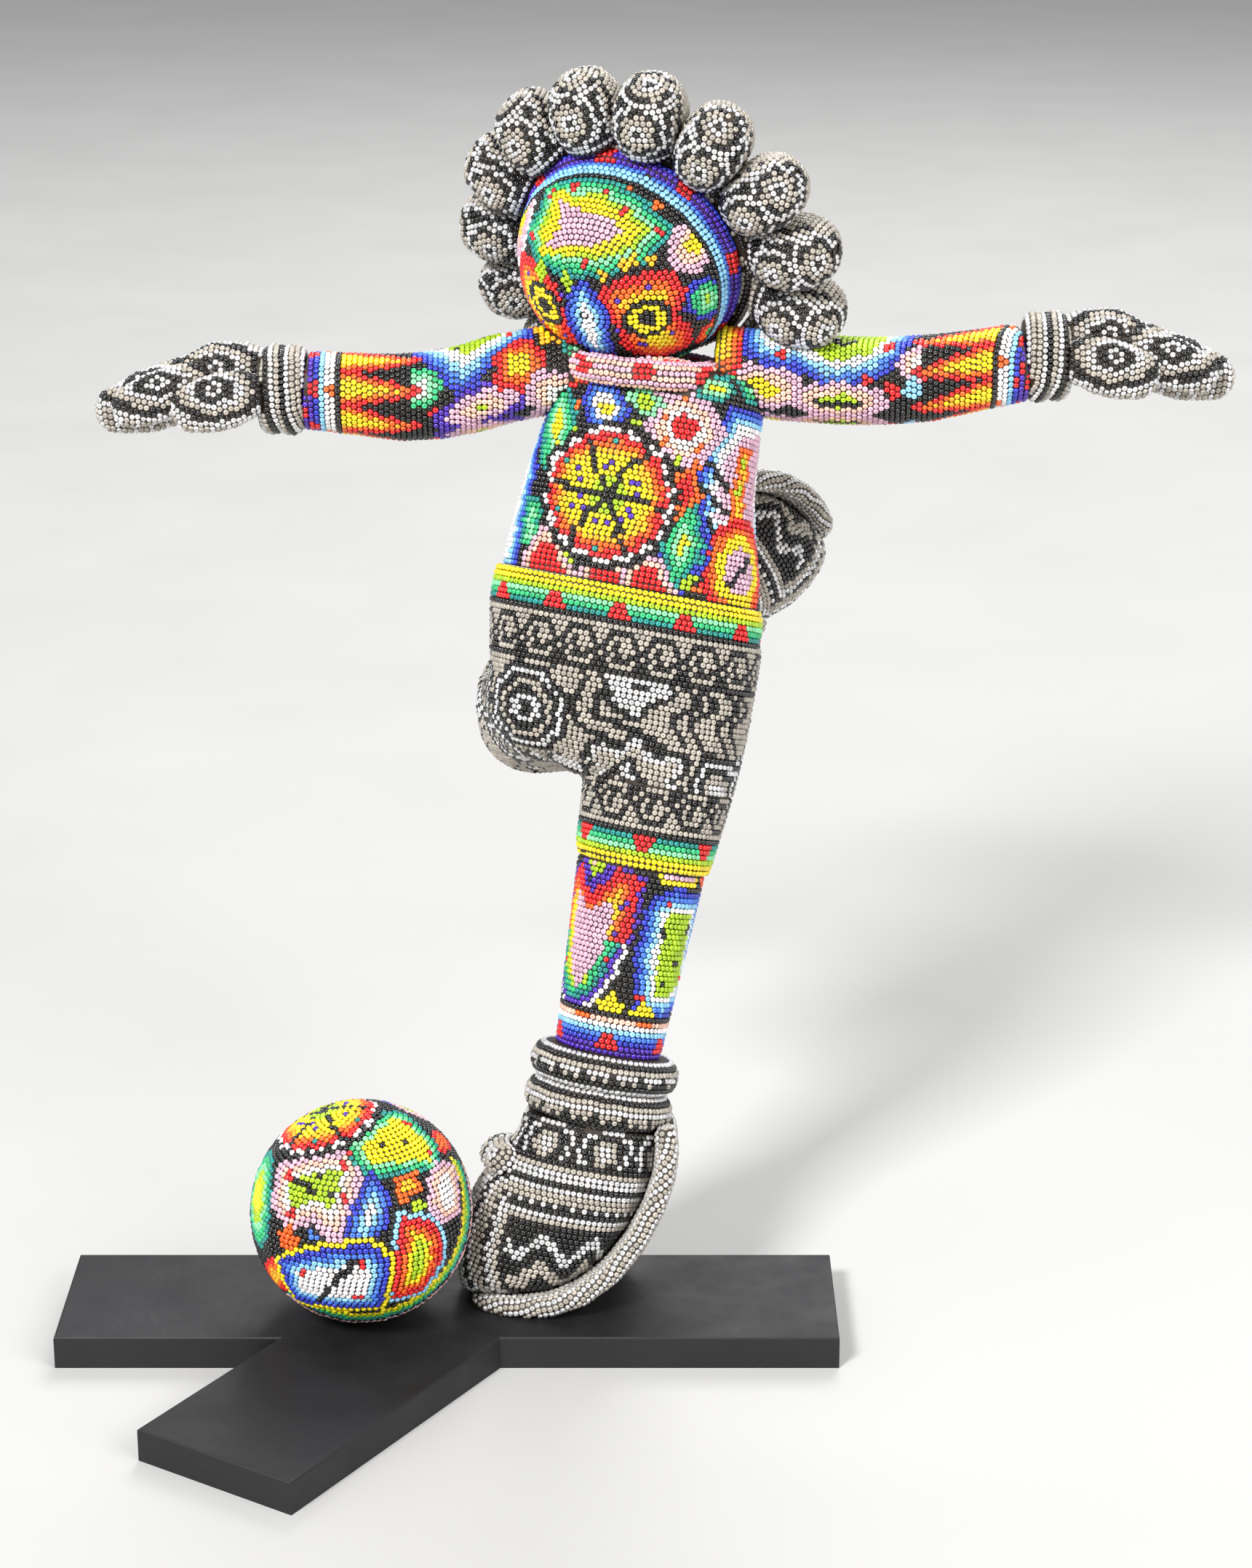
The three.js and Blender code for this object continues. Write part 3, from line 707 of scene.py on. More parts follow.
# ---- charts: flat coordinates for pieces that aren't painted round and along
def ball_chart(beads, centre, facing, up, radius):
    """u to the viewer's right and s up, as distances from the facing point of a ball."""
    away = unit(beads.place - centre)
    angle = np.arccos(np.clip(away @ facing, -1, 1))
    right = np.cross(up, facing)
    x, y = away @ right, away @ (up - facing * (up @ facing))
    flat = radius * angle / np.maximum(np.hypot(x, y), 1e-9)
    beads.u, beads.s = x * flat, y * flat


def folded(beads):
    """u with the back half mirrored onto the front, so that both sides carry the motifs."""
    half = beads.length / 2
    return np.where(np.abs(beads.u) > half / 2, np.sign(beads.u) * (half - np.abs(beads.u)), beads.u)


def spot(beads, at):
    """Coordinates on the surface from the bead nearest to (u, s), true to size near a tip."""
    nearest = int(np.argmin(np.hypot(beads.u - at[0], beads.s - at[1])))
    right, out = beads.tangent[nearest], beads.normal[nearest]
    away = beads.place - beads.place[nearest]
    x, y = away @ right, away @ np.cross(out, right)
    scale = np.linalg.norm(away, axis=1) / np.maximum(np.hypot(x, y), 1e-9)
    return x * scale, y * scale


def spot_reach(beads, at, petals, wave):
    """Distance from the bead nearest to (u, s), with a waved outline."""
    x, y = spot(beads, at)
    return np.hypot(x, y) * (1 + wave * np.cos(petals * np.arctan2(y, x)))


# ---- painters: one for each kind of piece; places and sizes are millimetres on the piece
THIN_LINE = 1.12            # half the width of a line one bead wide
LINE = 1.3                  # the same, for a line that stays unbroken on any slant
TRIANGLE_HALF = 4.4


class Pen:
    """Draws on beads in flat coordinates."""

    def __init__(self, beads, u, s):
        self.beads, self.u, self.s = beads, u, s

    def lay(self, shape, bands, where=True):
        """Fill a shape, or a depth worked out already, with bands from its edge inwards."""
        depth = shape(self.u, self.s) if callable(shape) else shape
        self.beads.layers(depth, bands, where)

    def dots(self, places, radius, colour):
        for at in places:
            self.beads.paint(np.hypot(self.u - at[0], self.s - at[1]) < radius, colour)

    def stroke(self, corners, colour, half_width=THIN_LINE):
        for start, end in zip(corners, corners[1:]):
            self.beads.paint(off_line(self.u, self.s, start, end) < half_width, colour)


def marks(beads, at_s, pitch, half_u, half_s, colour="red", shift=0.0):
    """Short dashes of another colour repeated round a band."""
    x = repeat(beads.u + shift * pitch, beads.length, pitch)
    beads.paint((np.abs(x) < half_u) & (np.abs(beads.s - at_s) < half_s), colour)


def triangles(beads, rise, height, slope, pitch):
    """Red triangles that stand side by side where rise is 0."""
    x = repeat(beads.u, beads.length, pitch)
    beads.paint((rise > 0) & (rise < height) & (np.abs(x) < TRIANGLE_HALF - rise * slope), "red")


# bands from the edge inwards; 1.6 to 2.6 wide is one bead, 3 to 4.4 is two
FIRE = "red 1.9, orange 1.9, gold 1.9, yellow"
LEAF_EDGE = "teal 1.8, green 1.8, mint 1.8, "
LEAF = LEAF_EDGE + "lime 1.6, yellow"
WATER = "blue 1.9, azure 1.9, sky 1.9, white"


def paint_face(beads):
    pen = Pen(beads, beads.u, beads.s)
    lay = pen.lay
    lay(oval((-43, 25), 13, 19, 8), "white 2.1, lilac 3, peach 2.5, yellow")
    leaf = [(-31, 46), (6, 51), (22, 43), (37, 29), (24, 18), (8, 14), (-8, 14), (-22, 16), (-31, 24),
            (-26, 34)]
    lay(polygon(leaf, -1), "teal 2.2, green 2.2, mint 2.2, lime 1.8, yellow")
    arrow = [(-17, 43), (-6, 39), (8, 38), (20, 29), (6, 24), (-10, 22), (-19, 20), (-12, 30)]
    lay(polygon(arrow), "yellow 2.4, lilac")
    pen.dots([(-22, 41), (-25, 24), (-10, 46), (6, 45), (2, 19), (30, 29), (16, 37)], 1.7, "red")
    pen.dots([(12, 53), (15, 51), (22, 48), (26, 45)], 2.0, "white")
    pen.dots([(17, 47), (29, 39)], 1.9, "orange")
    lay(flower((44, 20), 11.5, 8, 0.05), "lilac 4.2, peach 3, yellow")
    right_eye = [(18, 14), (26, 15), (35, 12), (38, 2), (33, -6), (36, -18), (32, -29),
                 (22, -29), (13, -22), (9, -14), (12, -6), (6, 2), (8, 11)]
    left_eye = [(-34, 15), (-20, 16), (-10, 10), (-8, 0), (-8, -15), (-16, -22), (-28, -16), (-40, -6)]
    for outline, eye in ((right_eye, (22, -4)), (left_eye, (-18, 0))):
        lay(polygon(outline, -1), "red 3.6, orange 3, gold 2.2, yellow")
        lay(oval(eye, 8.6, 8.6), "black 2.2, yellow 3.0, black")
        ring = [(eye[0] + 12.5 * math.cos(t), eye[1] + 13 * math.sin(t)) for t in np.arange(0.5, 6.3, 0.95)]
        pen.dots(ring, 1.2, "purple")
    nose = [(1, 12), (7, 3), (6, -8), (4, -19), (-3, -19), (-6, -6), (-4, 6)]
    lay(polygon(nose, 0.8), "blue 1.9, azure 1.8, sky 1.7, white")
    lay(oval((45, -7), 8, 13, 14), "blue 2.1, green 2.4, mint 2.2, lime 1.8, white")
    lay(oval((43, -31), 9, 9), "red 2.1, orange 2.4, green")
    lay(oval((52, -20), 4, 6), "lime")
    lay(oval((0, -35), 16, 9), "mint 2.1, peach 2.4, lilac")
    lay(oval((24, -42), 9, 7), "teal 2.1, mint 2.1, yellow")
    for at in ((-18, 13), (-5, 12)):
        lay(diamond(at, 3.6, 4.4), "lime")
    pen.dots([(9, 15), (17, 18), (26, 19), (20, 20)], 2.0, "gold")
    lay(FACE_EDGE - np.hypot(beads.u, beads.s), "azure 4.2, sky 3.8, black 1.9")


def paint_rim(beads):
    beads.ground("purple")
    beads.paint(beads.row % 3 == 1, "blue")
    marks(beads, 4, 33, 3.8, 3.0)


def paint_neck(beads):
    beads.ground("lilac")
    beads.paint(beads.row % 2 == 0, "peach")
    marks(beads, 7, 24, 3.4, 2.6)


def paint_core(beads):
    beads.ground("stone")
    beads.paint(beads.row % 4 == 1, "black")
    beads.paint(beads.row % 4 == 3, "silver")


def medallion(pen, at, radius):
    """A ringed sun with three lines across it and small dots in its six parts."""
    du, ds = pen.u - at[0], pen.s - at[1]
    depth = radius - np.hypot(du, ds)
    size = radius / 24
    pen.lay(depth + 1.2, f"black 1.9, white 2.1, red {2.3 * size}, orange {2.1 * size}, "
                         f"gold {2.0 * size}, yellow {8.5 * size}, lime")
    ring = (depth > 0.9) & (depth < 2.8)
    pen.beads.paint(ring & (np.arctan2(ds, du) * 9 % 3.14 < 0.8), "black")
    for degrees in (-3.5, 56.5, 116.5):
        turn = math.radians(degrees)
        across = np.abs(ds * math.cos(turn) - du * math.sin(turn))
        pen.beads.paint((across < 0.96) & (depth > 3.2), "black")
        for side in (0, math.pi):
            middle = turn + side + math.radians(30)
            near = [from_middle(at, radius * reach, middle + apart)
                    for reach, apart in ((0.5, 0), (0.41, 0.2), (0.41, -0.2))]
            pen.dots(near, 1.0, "purple")
            pen.dots([from_middle(at, radius * 0.76, middle)], 1.0, "teal")


def paint_torso(beads):
    u, s = folded(beads), beads.s
    pen = Pen(beads, u, s)
    lay = pen.lay
    feather = [(23, 24), (21, 52), (30, 68), (60, 70), (60, 16), (42, 16)]
    lay(polygon(feather), "blue 2.2, azure 2.2, sky 2.2, white 2.6, lilac")
    for rise in (30, 39, 48):
        pen.stroke([(23, rise), (34, rise - 8)], "black")
    lay(block((39, 40), 3.4, 16), "orange 1.8, gold")
    pen.dots([(39, 50), (39, 40), (39, 30)], 1.5, "lime")
    lay(oval((43, 12), 17, 19), "red 3.2, orange 2.4, yellow 3.8, lilac")
    pen.stroke([(38, 7), (48, 17)], "black")
    lay(diamond((19, 17), 11, 25, -8), "blue 1.9, " + LEAF_EDGE + "yellow")
    lay(flower((13, 58), 14, 8, 0.04), "lilac 4.2, peach 2.4, white 2.6, red")
    pen.dots([(7, 52), (5, 61), (13, 68), (20, 52)], 1.3, "orange")
    lay(diamond((17.5, 37), 6.5, 12, -6), "orange 2.1, red")
    lay(flower((-16, 60), 9, 6, 0.05), "blue 2.1, azure 2.1, white 2.3, yellow")
    lay(flower((-1, 65), 5.6, 6), "mint 2.4, lime")
    lay(diamond((-34, 51), 10, 26, 6), LEAF_EDGE + "yellow")
    lay(polygon([(-70, -4), (-44, -4), (-41, 34), (-47, 62), (-70, 62)]),
        "blue 2.2, azure 2.2, sky 2.4, white")
    lay(block((-38, 16), 5, 9), LEAF_EDGE + "yellow")
    for at, wide, peak in ((-30, 12, 15), (-7, 11, 9), (8, 11, 12)):
        lay(np.minimum(wide - np.abs(u - at) - s * 0.55, peak - s), "lilac 2.2, peach 2.2, red")
    pen.dots([(-19, 5), (-21, 7), (21, 4), (23, 6), (8, 44), (12, 46), (-4, 56), (3, 50), (-25, 51)],
             1.8, "lime")
    pen.dots([(25, 3), (-24, 45), (-27, 60), (4, 46)], 1.8, "orange")
    lay(oval((-30, 74), 12, 8), FIRE)
    lay(oval((2, 80), 14, 8), "lilac 2.1, peach 2.1, red")
    lay(oval((36, 80), 10, 9), LEAF)
    lay(oval((51, 86), 14, 11), FIRE)
    lay(oval((-50, 86), 14, 11), WATER)
    lay(oval((24, 94), 12, 8), "lilac 2.1, peach 2.1, lime")
    lay(oval((19, 74), 7.5, 5.5), "teal 1.9, mint 1.9, yellow")
    medallion(pen, (-10, 30), 24.5)


def hem_band(beads, depth):
    """Yellow to teal to black rows with stepped red triangles."""
    beads.layers(depth, "yellow 3.8, lime 1.9, mint 1.9, green 1.9, teal 1.9, black 2.2")
    triangles(beads, 11.4 - depth, 5.8, 0.6, 24)


def scrolls(beads, middle_row, width=7):
    """A running band of scrolls seven rows high, drawn bead by bead about its middle row."""
    pitch = beads.length / np.maximum(1, np.round(beads.length / BEAD_PITCH))
    odd = beads.row % 2
    half_steps = 2 * np.round(beads.u / pitch - 0.5 * odd) + odd - middle_row % 2
    x = (half_steps - 2 * width * np.round(half_steps / (2 * width))) / 2
    y = beads.row - middle_row
    ring = np.round(np.maximum(np.abs(y), np.abs(x) + np.abs(y) / 2))
    angle = np.degrees(np.arctan2(-y, x)) % 360
    band = np.abs(y) <= 3
    outer = (ring == 3) & ((angle < 215) | (angle > 330))
    inner = (ring == 2) & (angle > 235) & (angle < 335) | (ring == 1) & (angle > 100) & (angle < 250)
    foot = (y == 3) & (np.abs(x) > 2) | (y == 2) & (np.abs(x) >= 3)
    beads.paint(band, "stone")
    beads.paint(band & (outer | inner | foot), "black")


def paint_shorts(beads):
    """Band and scrolls below the waist, then outlined figures, and ringed flowers on the knee."""
    u, s = folded(beads), beads.s
    pen = Pen(beads, u, s)
    lay = pen.lay
    beads.ground("stone")
    ridge = np.abs(((u + s * 0.35) % 34) - 17) + 0.9 * np.abs(((s - 4) % 34) - 17)
    lay(ridge, "black 2.4, silver 4.4, black 2.4, stone 6.4, black 2.4, stone")
    front = [(-14, 28), (50, 20), (60, 40), (54, 84), (-4, 84), (-14, 60)]
    lay(polygon(front), "stone")
    for shift in (0, 6.4):
        bend = [(-6 - shift, 24), (0 - shift, 46 + shift * 0.8), (25 - shift, 53 + shift)]
        pen.stroke(bend, "black", LINE)
    for shift in (0, 6.4, 17, 23.4):
        zigzag = [(24 + shift, 29), (33 + shift, 37), (27 + shift, 42), (32 + shift, 52)]
        pen.stroke(zigzag, "black", LINE)
    head = [(-3, 29), (11, 28), (19, 32), (19, 36), (14, 38), (14, 43), (8, 41), (1, 36)]
    lay(polygon(head, 2.4), "black 2.4, silver")
    pen.stroke([(8, 33), (12, 34)], "black")
    crown = [(6, 72), (3, 60), (11, 63), (15, 56), (20, 62), (30, 59), (27, 72)]
    lay(polygon(crown, 4.8), "black 2.4, silver 2.4, stone")
    lay(polygon([(10, 72), (11, 68), (15, 63), (19, 68), (22, 72)], 2.2), "black 2.4, silver")
    lay(block((50, 66), 13, 12, 8), "black 2.2, silver 2.2, black 2.2, stone 2.6, silver")
    for at, size in (((-27, 50), 17), ((-42, 68), 12), ((-58, 46), 13)):
        depth = size - spot_reach(beads, at, 8, 0.04)
        lay(depth, "black 2.2, silver 2.2, black 2.2, stone 2.4, black 2.2, silver 3.6, black")
    beads.paint((s > 13.4) & (s < 31.2), "stone")
    beads.paint(beads.row == 15, "black")
    scrolls(beads, 11)
    hem_band(beads, s)


def paint_hem(beads):
    """The band and the scrolls at the open end of the standing leg."""
    beads.ground("stone")
    scrolls(beads, 11)
    hem_band(beads, beads.s)


def paint_shin(beads):
    u, s = folded(beads), beads.s
    pen = Pen(beads, u, s)
    lay = pen.lay
    arrow = [(-33, 60), (-24, 66), (-16, 56), (-7, 68), (3, 64), (2, 44), (-2, 30), (-9, 16), (-22, 15),
             (-32, 24), (-35, 44)]
    lay(polygon(arrow), "purple 1.9, red 3.6, orange 2.1, gold 2.2, yellow", s > 40)
    lay(polygon(arrow), "white 1.9, purple 1.9, teal 2.1, green 2.1, lime 2.2, yellow", s <= 40)
    lay(polygon([(-23, 54), (-16, 49), (-7, 53), (-8, 38), (-14, 28), (-16, 22), (-22, 34)]), "lilac")
    pen.dots([(-28, 53), (-3, 54), (-4, 44)], 1.3, "purple")
    pen.dots([(-26, 30), (-6, 34)], 1.3, "red")
    lay(polygon([(-30, 76), (-16, 60), (-2, 76)]), "purple 2.1, lime 2.4, peach")
    leaf = [(6, 56), (14, 62), (34, 60), (36, 22), (20, 15), (8, 18), (5, 34)]
    lay(polygon(leaf), "blue 2.1, azure 2.1, sky 2.1, white 2.4, lime")
    pen.dots([(13, 46), (22, 36), (26, 48), (17, 28)], 1.3, "black")
    pen.dots([(9, 22), (14, 57), (30, 30)], 1.6, "red")
    lay(block((17, 70), 9, 6), "yellow 2.1, lilac")
    lay(block((36, 70), 7, 6), "orange 2.1, red")
    lay(flower((-1, 17.5), 4.8, 4, 0.15), "yellow")
    lay(flower((11, 16.5), 4, 4, 0.15), "yellow")
    beads.layers(s, "purple 3.4, blue 1.9, azure 1.9, sky 1.9, white 1.9, peach 2, black 1.9")
    triangles(beads, s - 2.6, 5.6, 0.5, 25)
    marks(beads, 12.0, 22, 3.4, 1.0, "orange", 0.5)


def grey_rows(beads):
    beads.ground("stone")
    beads.paint(beads.row % 3 == 0, "silver")


def paint_roll(beads):
    grey_rows(beads)
    x = repeat(beads.u, beads.length, 5.3)
    share = beads.s / beads.s.max()
    beads.paint((share > 0.42) & (share < 0.74) & (np.abs(x) < 0.3 + 9 * (share - 0.42)), "black")
    beads.paint((share > 0.1) & (share < 0.22), "black")


def rounded_corner(a, b, radius):
    """Depth inside a corner where both a and b are positive, with its bend rounded off."""
    bend = radius - np.hypot(np.maximum(radius - a, 0), np.maximum(radius - b, 0))
    return np.where((a < radius) & (b < radius), bend, np.minimum(a, b))


def paint_shoe(beads):
    u, s = np.abs(beads.u), beads.s
    beads.ground("black")
    depth = rounded_corner(s - 15, u - 5, 16)
    beads.layers(depth,
                 "stone 2.2, silver 4.2, black 2.1, silver 2.2, stone 3.8, black 2.4, silver 2.1, "
                 "stone 2.2")
    inner = depth > 23.5
    wave = 10 * np.abs(((u - 32) / 9) % 2 - 1)
    beads.paint(inner & (np.abs(s - 41 - wave) < 2.3), "silver")
    beads.paint(inner & (np.abs(s - 52 - wave) < 3.4), "stone")
    cell = repeat(beads.u, beads.length, 4.4)
    beads.paint((depth > 14.3) & (depth < 16.6) & (np.abs(cell) < 1.1), "silver")
    x = repeat(beads.u, beads.length, 21)
    band = s < 15
    beads.paint(band, "black")
    reach = np.hypot(x, s - 8.5)
    beads.paint(band & (np.abs(reach - 8.4) < 1.1) & (s < 13), "silver")
    beads.paint(band & (reach < 4.8), "stone")
    beads.paint(band & (reach < 2.4), "silver")
    tongue = (depth < 0) & ~band
    beads.paint(tongue, "stone")
    beads.paint(tongue & (beads.row % 3 == 0), "black")


def paint_sole(beads):
    beads.ground("stone")
    beads.paint(beads.row % 2 == 1, "silver")
    x = repeat(beads.u, beads.length, 4.3)
    beads.paint((beads.row == 1) & (np.abs(x) < 1.1), "black")


def paint_arm(beads, motifs):
    """Bands at the wrist, flames pointing to the elbow, and bold motifs up to the shoulder."""
    v = beads.u - ARM_SIGHT
    half = beads.length / 4
    v = np.where(v > half, 2 * half - v, v)
    v = np.where(v < -half, -2 * half - v, v)
    s = beads.s
    motifs(Pen(beads, s, v))
    x = repeat(beads.u - 1, beads.length, 12)
    flame = 6.9 * np.clip(1 - (s - 13) / 29, 0, 1) ** 0.62 - np.abs(x)
    on = (s > 13) & (s < 42)
    beads.paint(on & (s < 38), "black")
    beads.layers(flame, "red 1.5, orange 1.3, gold 1.1, yellow", on & (flame > 0))
    beads.layers(s, "purple 3.8, blue 1.9, sky 2.2, white 2.2, white 2.0, black 1.2")
    marks(beads, 3.2, 17, 2.8, 2.4)
    marks(beads, 9.4, 19, 1.6, 1.9, "orange")


def left_arm_motifs(pen):
    lay = pen.lay
    lay(polygon([(33, 26), (35, 15), (56, -11), (82, 6), (86, 26)]),
        "blue 2.6, azure 2.6, sky 2.8, white 3.6, lime")
    pen.dots([(48, 14), (56, 16), (64, 14), (54, 9)], 1.2, "black")
    lay(flower((42, -6), 7.5, 6, 0.05), "green 2.1, mint 2.1, white")
    lay(flower((36, 7), 3.6, 6), "sky")
    lay(oval((64, -17), 18, 8, 6), "purple 2.1, lilac 2.4, peach 2.4, lime")
    lay(flower((77, -5), 9.5, 5, 0.1), "red 2.6, orange 2.6, yellow")
    lay(block((89, 12), 7, 9, 20), "gold 2.1, yellow")
    lay(oval((92, -16), 14, 9), "lilac 2.6, peach 2.4, white")
    lay(oval((104, 2), 11, 13), LEAF)
    lay(oval((118, 6), 9, 20), "lilac 2.6, peach 2.4, red")
    pen.dots([(84, 16), (74, 10), (46, -15)], 1.8, "red")


def right_arm_motifs(pen):
    lay = pen.lay
    lay(polygon([(42, 14), (46, -2), (54, -8), (70, -12), (84, -6), (100, -4), (104, 18), (84, 26),
                 (50, 26)]),
        "blue 2.4, azure 2.4, sky 2.4, white 3, lime")
    pen.stroke([(62, 8), (66, 4), (72, 10), (78, 4), (84, 10)], "black")
    lay(flower((40, -4), 7, 6, 0.05), "lilac 2.4, peach 2.1, white")
    lay(flower((42, -13), 3.4, 4, 0.2), "sky")
    pen.dots([(48, -14), (50, -11)], 2.0, "red")
    lay(oval((68, -17), 18, 7), "lilac 2.1, peach 2.1, lime")
    pen.stroke([(60, -18), (76, -18)], "black")
    lay(oval((94, -14), 14, 8), "lilac 2.6, peach 2.4, yellow")
    lay(oval((112, 2), 11, 20), FIRE)
    pen.dots([(58, -9), (88, -2), (50, 4), (84, 16)], 2.0, "red")


def paint_cuff(beads):
    grey_rows(beads)
    share = beads.s / beads.s.max()
    for groove in (0.4, 0.62, 0.97):
        beads.paint(np.abs(share - groove) < 0.045, "black")


def paint_pad(beads):
    """Oval rings round the middle of a thumb, a finger or a knob."""
    grey_rows(beads)
    x, y = spot(beads, (ARM_SIGHT * 0.5, beads.s.max() * 0.5))
    tall = max(beads.s.max() * 0.5, 8)
    depth = (1 - np.hypot(x / 11, y / tall)) * 11
    beads.layers(depth + 2.1, "silver 2.1, black 2.1, stone 2.1, silver 2.3, black 2.1, silver")
    beads.paint(np.hypot(x, y) < 1.3, "black")


def paint_petal(beads):
    """Two round flowers with dotted hearts in six-sided outlines, and lines down both sides."""
    u, s = beads.u, beads.s
    beads.ground("stone")
    beads.paint(np.abs(u) < 13.5, "black")
    for at in ((0, 33.4), (0, 15.4)):
        reach = spot_reach(beads, at, 6, 0.05)
        beads.paint(np.abs(reach - 9.2) < 1.15, "silver")
        beads.paint(reach < 8.0, "black")
        beads.paint(reach < 6.3, "stone")
        beads.paint((reach > 1.2) & (reach < 3.4), "silver")
        beads.paint(reach < 1.2, "black")
    beads.layers(np.abs(u) - 11.8, "silver 2.1, stone 2.1, black 2.1, stone 2.1", s < 29)
    beads.layers(s, "stone 2.0, black 1.9, silver 1.9")


def paint_ball(beads):
    reach = np.hypot(beads.u, beads.s)
    edge = BALL_RADIUS * math.pi / 2
    scale = np.where(reach < edge, 1.0, (2 * edge - reach) / np.maximum(reach, 1e-9))
    u, s = beads.u * scale, beads.s * scale
    pen = Pen(beads, u, s)
    lay = pen.lay
    rim = np.hypot(u, s)
    low = (rim > 42) & ((u > 18) & (s < 22) | (s < -33))
    beads.layers(rim - 42,
                 "black 1.9, yellow 2.1, lime 2.1, green 2.1, teal 2.1, black 2.1, lilac 2.1, peach 2.1, "
                 "black", low)
    lay(oval((-47, 8), 11, 24), LEAF)
    lay(oval((-42, -30), 8, 13, -40), "red 2.1, orange 2.1, gold")
    lay(oval((24, 56), 14, 9, -30), WATER)
    lay(oval((37, 30), 6, 9, -50), "red 2.1, orange")
    lay(oval((26, 52), 12, 7, -30), "lilac 2.4, peach 2.1, lime")
    heart = [(-33, 19), (-12, 21), (-2, 21), (1, 13), (-4, -1), (-8, -13), (-17, -3), (-27, -6), (-35, 3)]
    lay(polygon(heart), "lilac 3.2, peach 2.4, white 2.1, lime")
    heart = [(-7, 25), (1, 29), (12, 42), (21, 42), (32, 27), (32, 14), (21, 14), (12, 12), (4, 11),
             (-3, 19)]
    lay(polygon(heart), LEAF_EDGE + "yellow")
    pen.stroke([(-24, 12), (-17, 7)], "black")
    pen.dots([(8, 24), (13, 22), (17, 25), (-15, 12), (-11, 5)], 1.2, "black")
    pen.dots([(-27, 14), (-6, 16), (-6, 4), (-26, 0), (-4, 21), (20, 36), (28, 22)], 1.6, "red")
    sliver = [(3, 11), (9, 3), (7, -6), (0, -12), (-4, -8), (-1, 1)]
    lay(polygon(sliver, 1), "blue 1.9, azure 1.9, sky 1.7, white")
    lay(block((17, 8), 5, 4.6, 20), "orange 2.4, gold")
    lay(flower((21, 1), 2.6, 3, 0.2), "lime")
    drop = [(31, 18), (41, 17), (41, -2), (32, -6), (26, 0), (26, 10)]
    lay(polygon(drop), "lilac 2.4, peach 2.1, white")
    fire = [(13, -2), (24, -3), (32, -10), (33, -24), (26, -36), (10, -38), (11, -13)]
    lay(polygon(fire), "sky 2.2, red 2.8, orange 2.4, yellow 2.4, lime")
    pool = [(-34, -20), (-19, -15), (3, -13), (9, -19), (6, -40), (-31, -40)]
    lay(polygon(pool, 2.1), "yellow 2.1, blue 2.6, azure 2.3, sky 2.3, white")
    pen.stroke([(-20, -38), (-3, -18)], "black")
    pen.dots([(-24, -24), (0, -20), (-2, -34)], 1.8, "red")
    lay(flower((-28, -10), 4.6, 5, 0.2), "orange")
    pen.dots([(-19, -8), (-16, -10)], 1.6, "azure")
    medallion(pen, (-17, 47), 26)


PAINTERS = {
    "face_dome": paint_face,
    "face_rim": paint_rim,
    "neck_ring": paint_neck,
    "head_core": paint_core,
    "torso": paint_torso,
    "shorts_hem": paint_hem,
    "shorts": paint_shorts,
    "left_arm": lambda beads: paint_arm(beads, left_arm_motifs),
    "right_arm": lambda beads: paint_arm(beads, right_arm_motifs),
    "ball": paint_ball,
    "mane_petal": paint_petal,
    "left_cuff": paint_cuff,
    "right_cuff": paint_cuff,
}
for foot in ("standing", "raised"):
    PAINTERS |= {f"{foot}_shin": paint_shin, f"{foot}_roll": paint_roll, f"{foot}_shoe": paint_shoe}
    PAINTERS |= {f"{foot}_sole": paint_sole, f"{foot}_strap": paint_pad}


def paint(node, beads):
    """Colour the beads with the first painter whose name the node's starts with, or as a pad."""
    if node == "face_dome":
        pole = beads.place[np.argmax(beads.place @ HEAD_AXIS)]
        ball_chart(beads, pole - HEAD_AXIS * FACE_RADIUS, HEAD_AXIS, HEAD_UP, FACE_RADIUS)
    if node == "ball":
        ball_chart(beads, node_centre("ball"), BALL_FACING, VERTICAL, BALL_RADIUS)
    for start, painter in PAINTERS.items():
        if node.startswith(start):
            painter(beads)
            return
    paint_pad(beads)


# ---- pieces
def own_share(name, beads):
    """Which beads of a core this set of rows keeps, where two sets share the core."""
    if name == "shorts_hem":
        return beads.s < HEM_HEIGHT
    if name == "shorts":
        above = (beads.place - HEM_CENTRE) @ LEG_UP
        off = np.linalg.norm(beads.place - HEM_CENTRE - above[:, None] * LEG_UP, axis=1)
        return (above > HEM_HEIGHT - 3) | (off > HEM_REACH)
    return np.ones(len(beads.u), bool)


def petal_way(number):
    turn = (number - 1 - (PETALS - 1) / 2) * PETAL_PITCH
    return HEAD_UP * math.cos(turn) + HEAD_LEFT * math.sin(turn)


def foot_rows(side, up):
    toe, front = (LEG_TOE, FRONT) if side == "standing" else (RAISED_TOE, RAISED_TOE)
    return {
        f"{side}_shin": (axial_seeds(up), front),
        f"{side}_roll_upper": (axial_seeds(-up, 1.5), front),
        f"{side}_roll_lower": (axial_seeds(-up, 1.5), front),
        f"{side}_strap": (contact_seeds(f"{side}_shoe"), toe),
        f"{side}_shoe": (axial_seeds(-up, 3.0), toe),
        f"{side}_sole": (contact_seeds(f"{side}_shoe"), toe),
    }


def hand_rows(side, out):
    pieces = {"cuff": 1.2, "thumb": 1.5, "finger_front": 1.5, "finger_rear": 1.5, "palm": 2.0}
    return {f"{side}_{name}": (axial_seeds(out, depth), FRONT) for name, depth in pieces.items()}


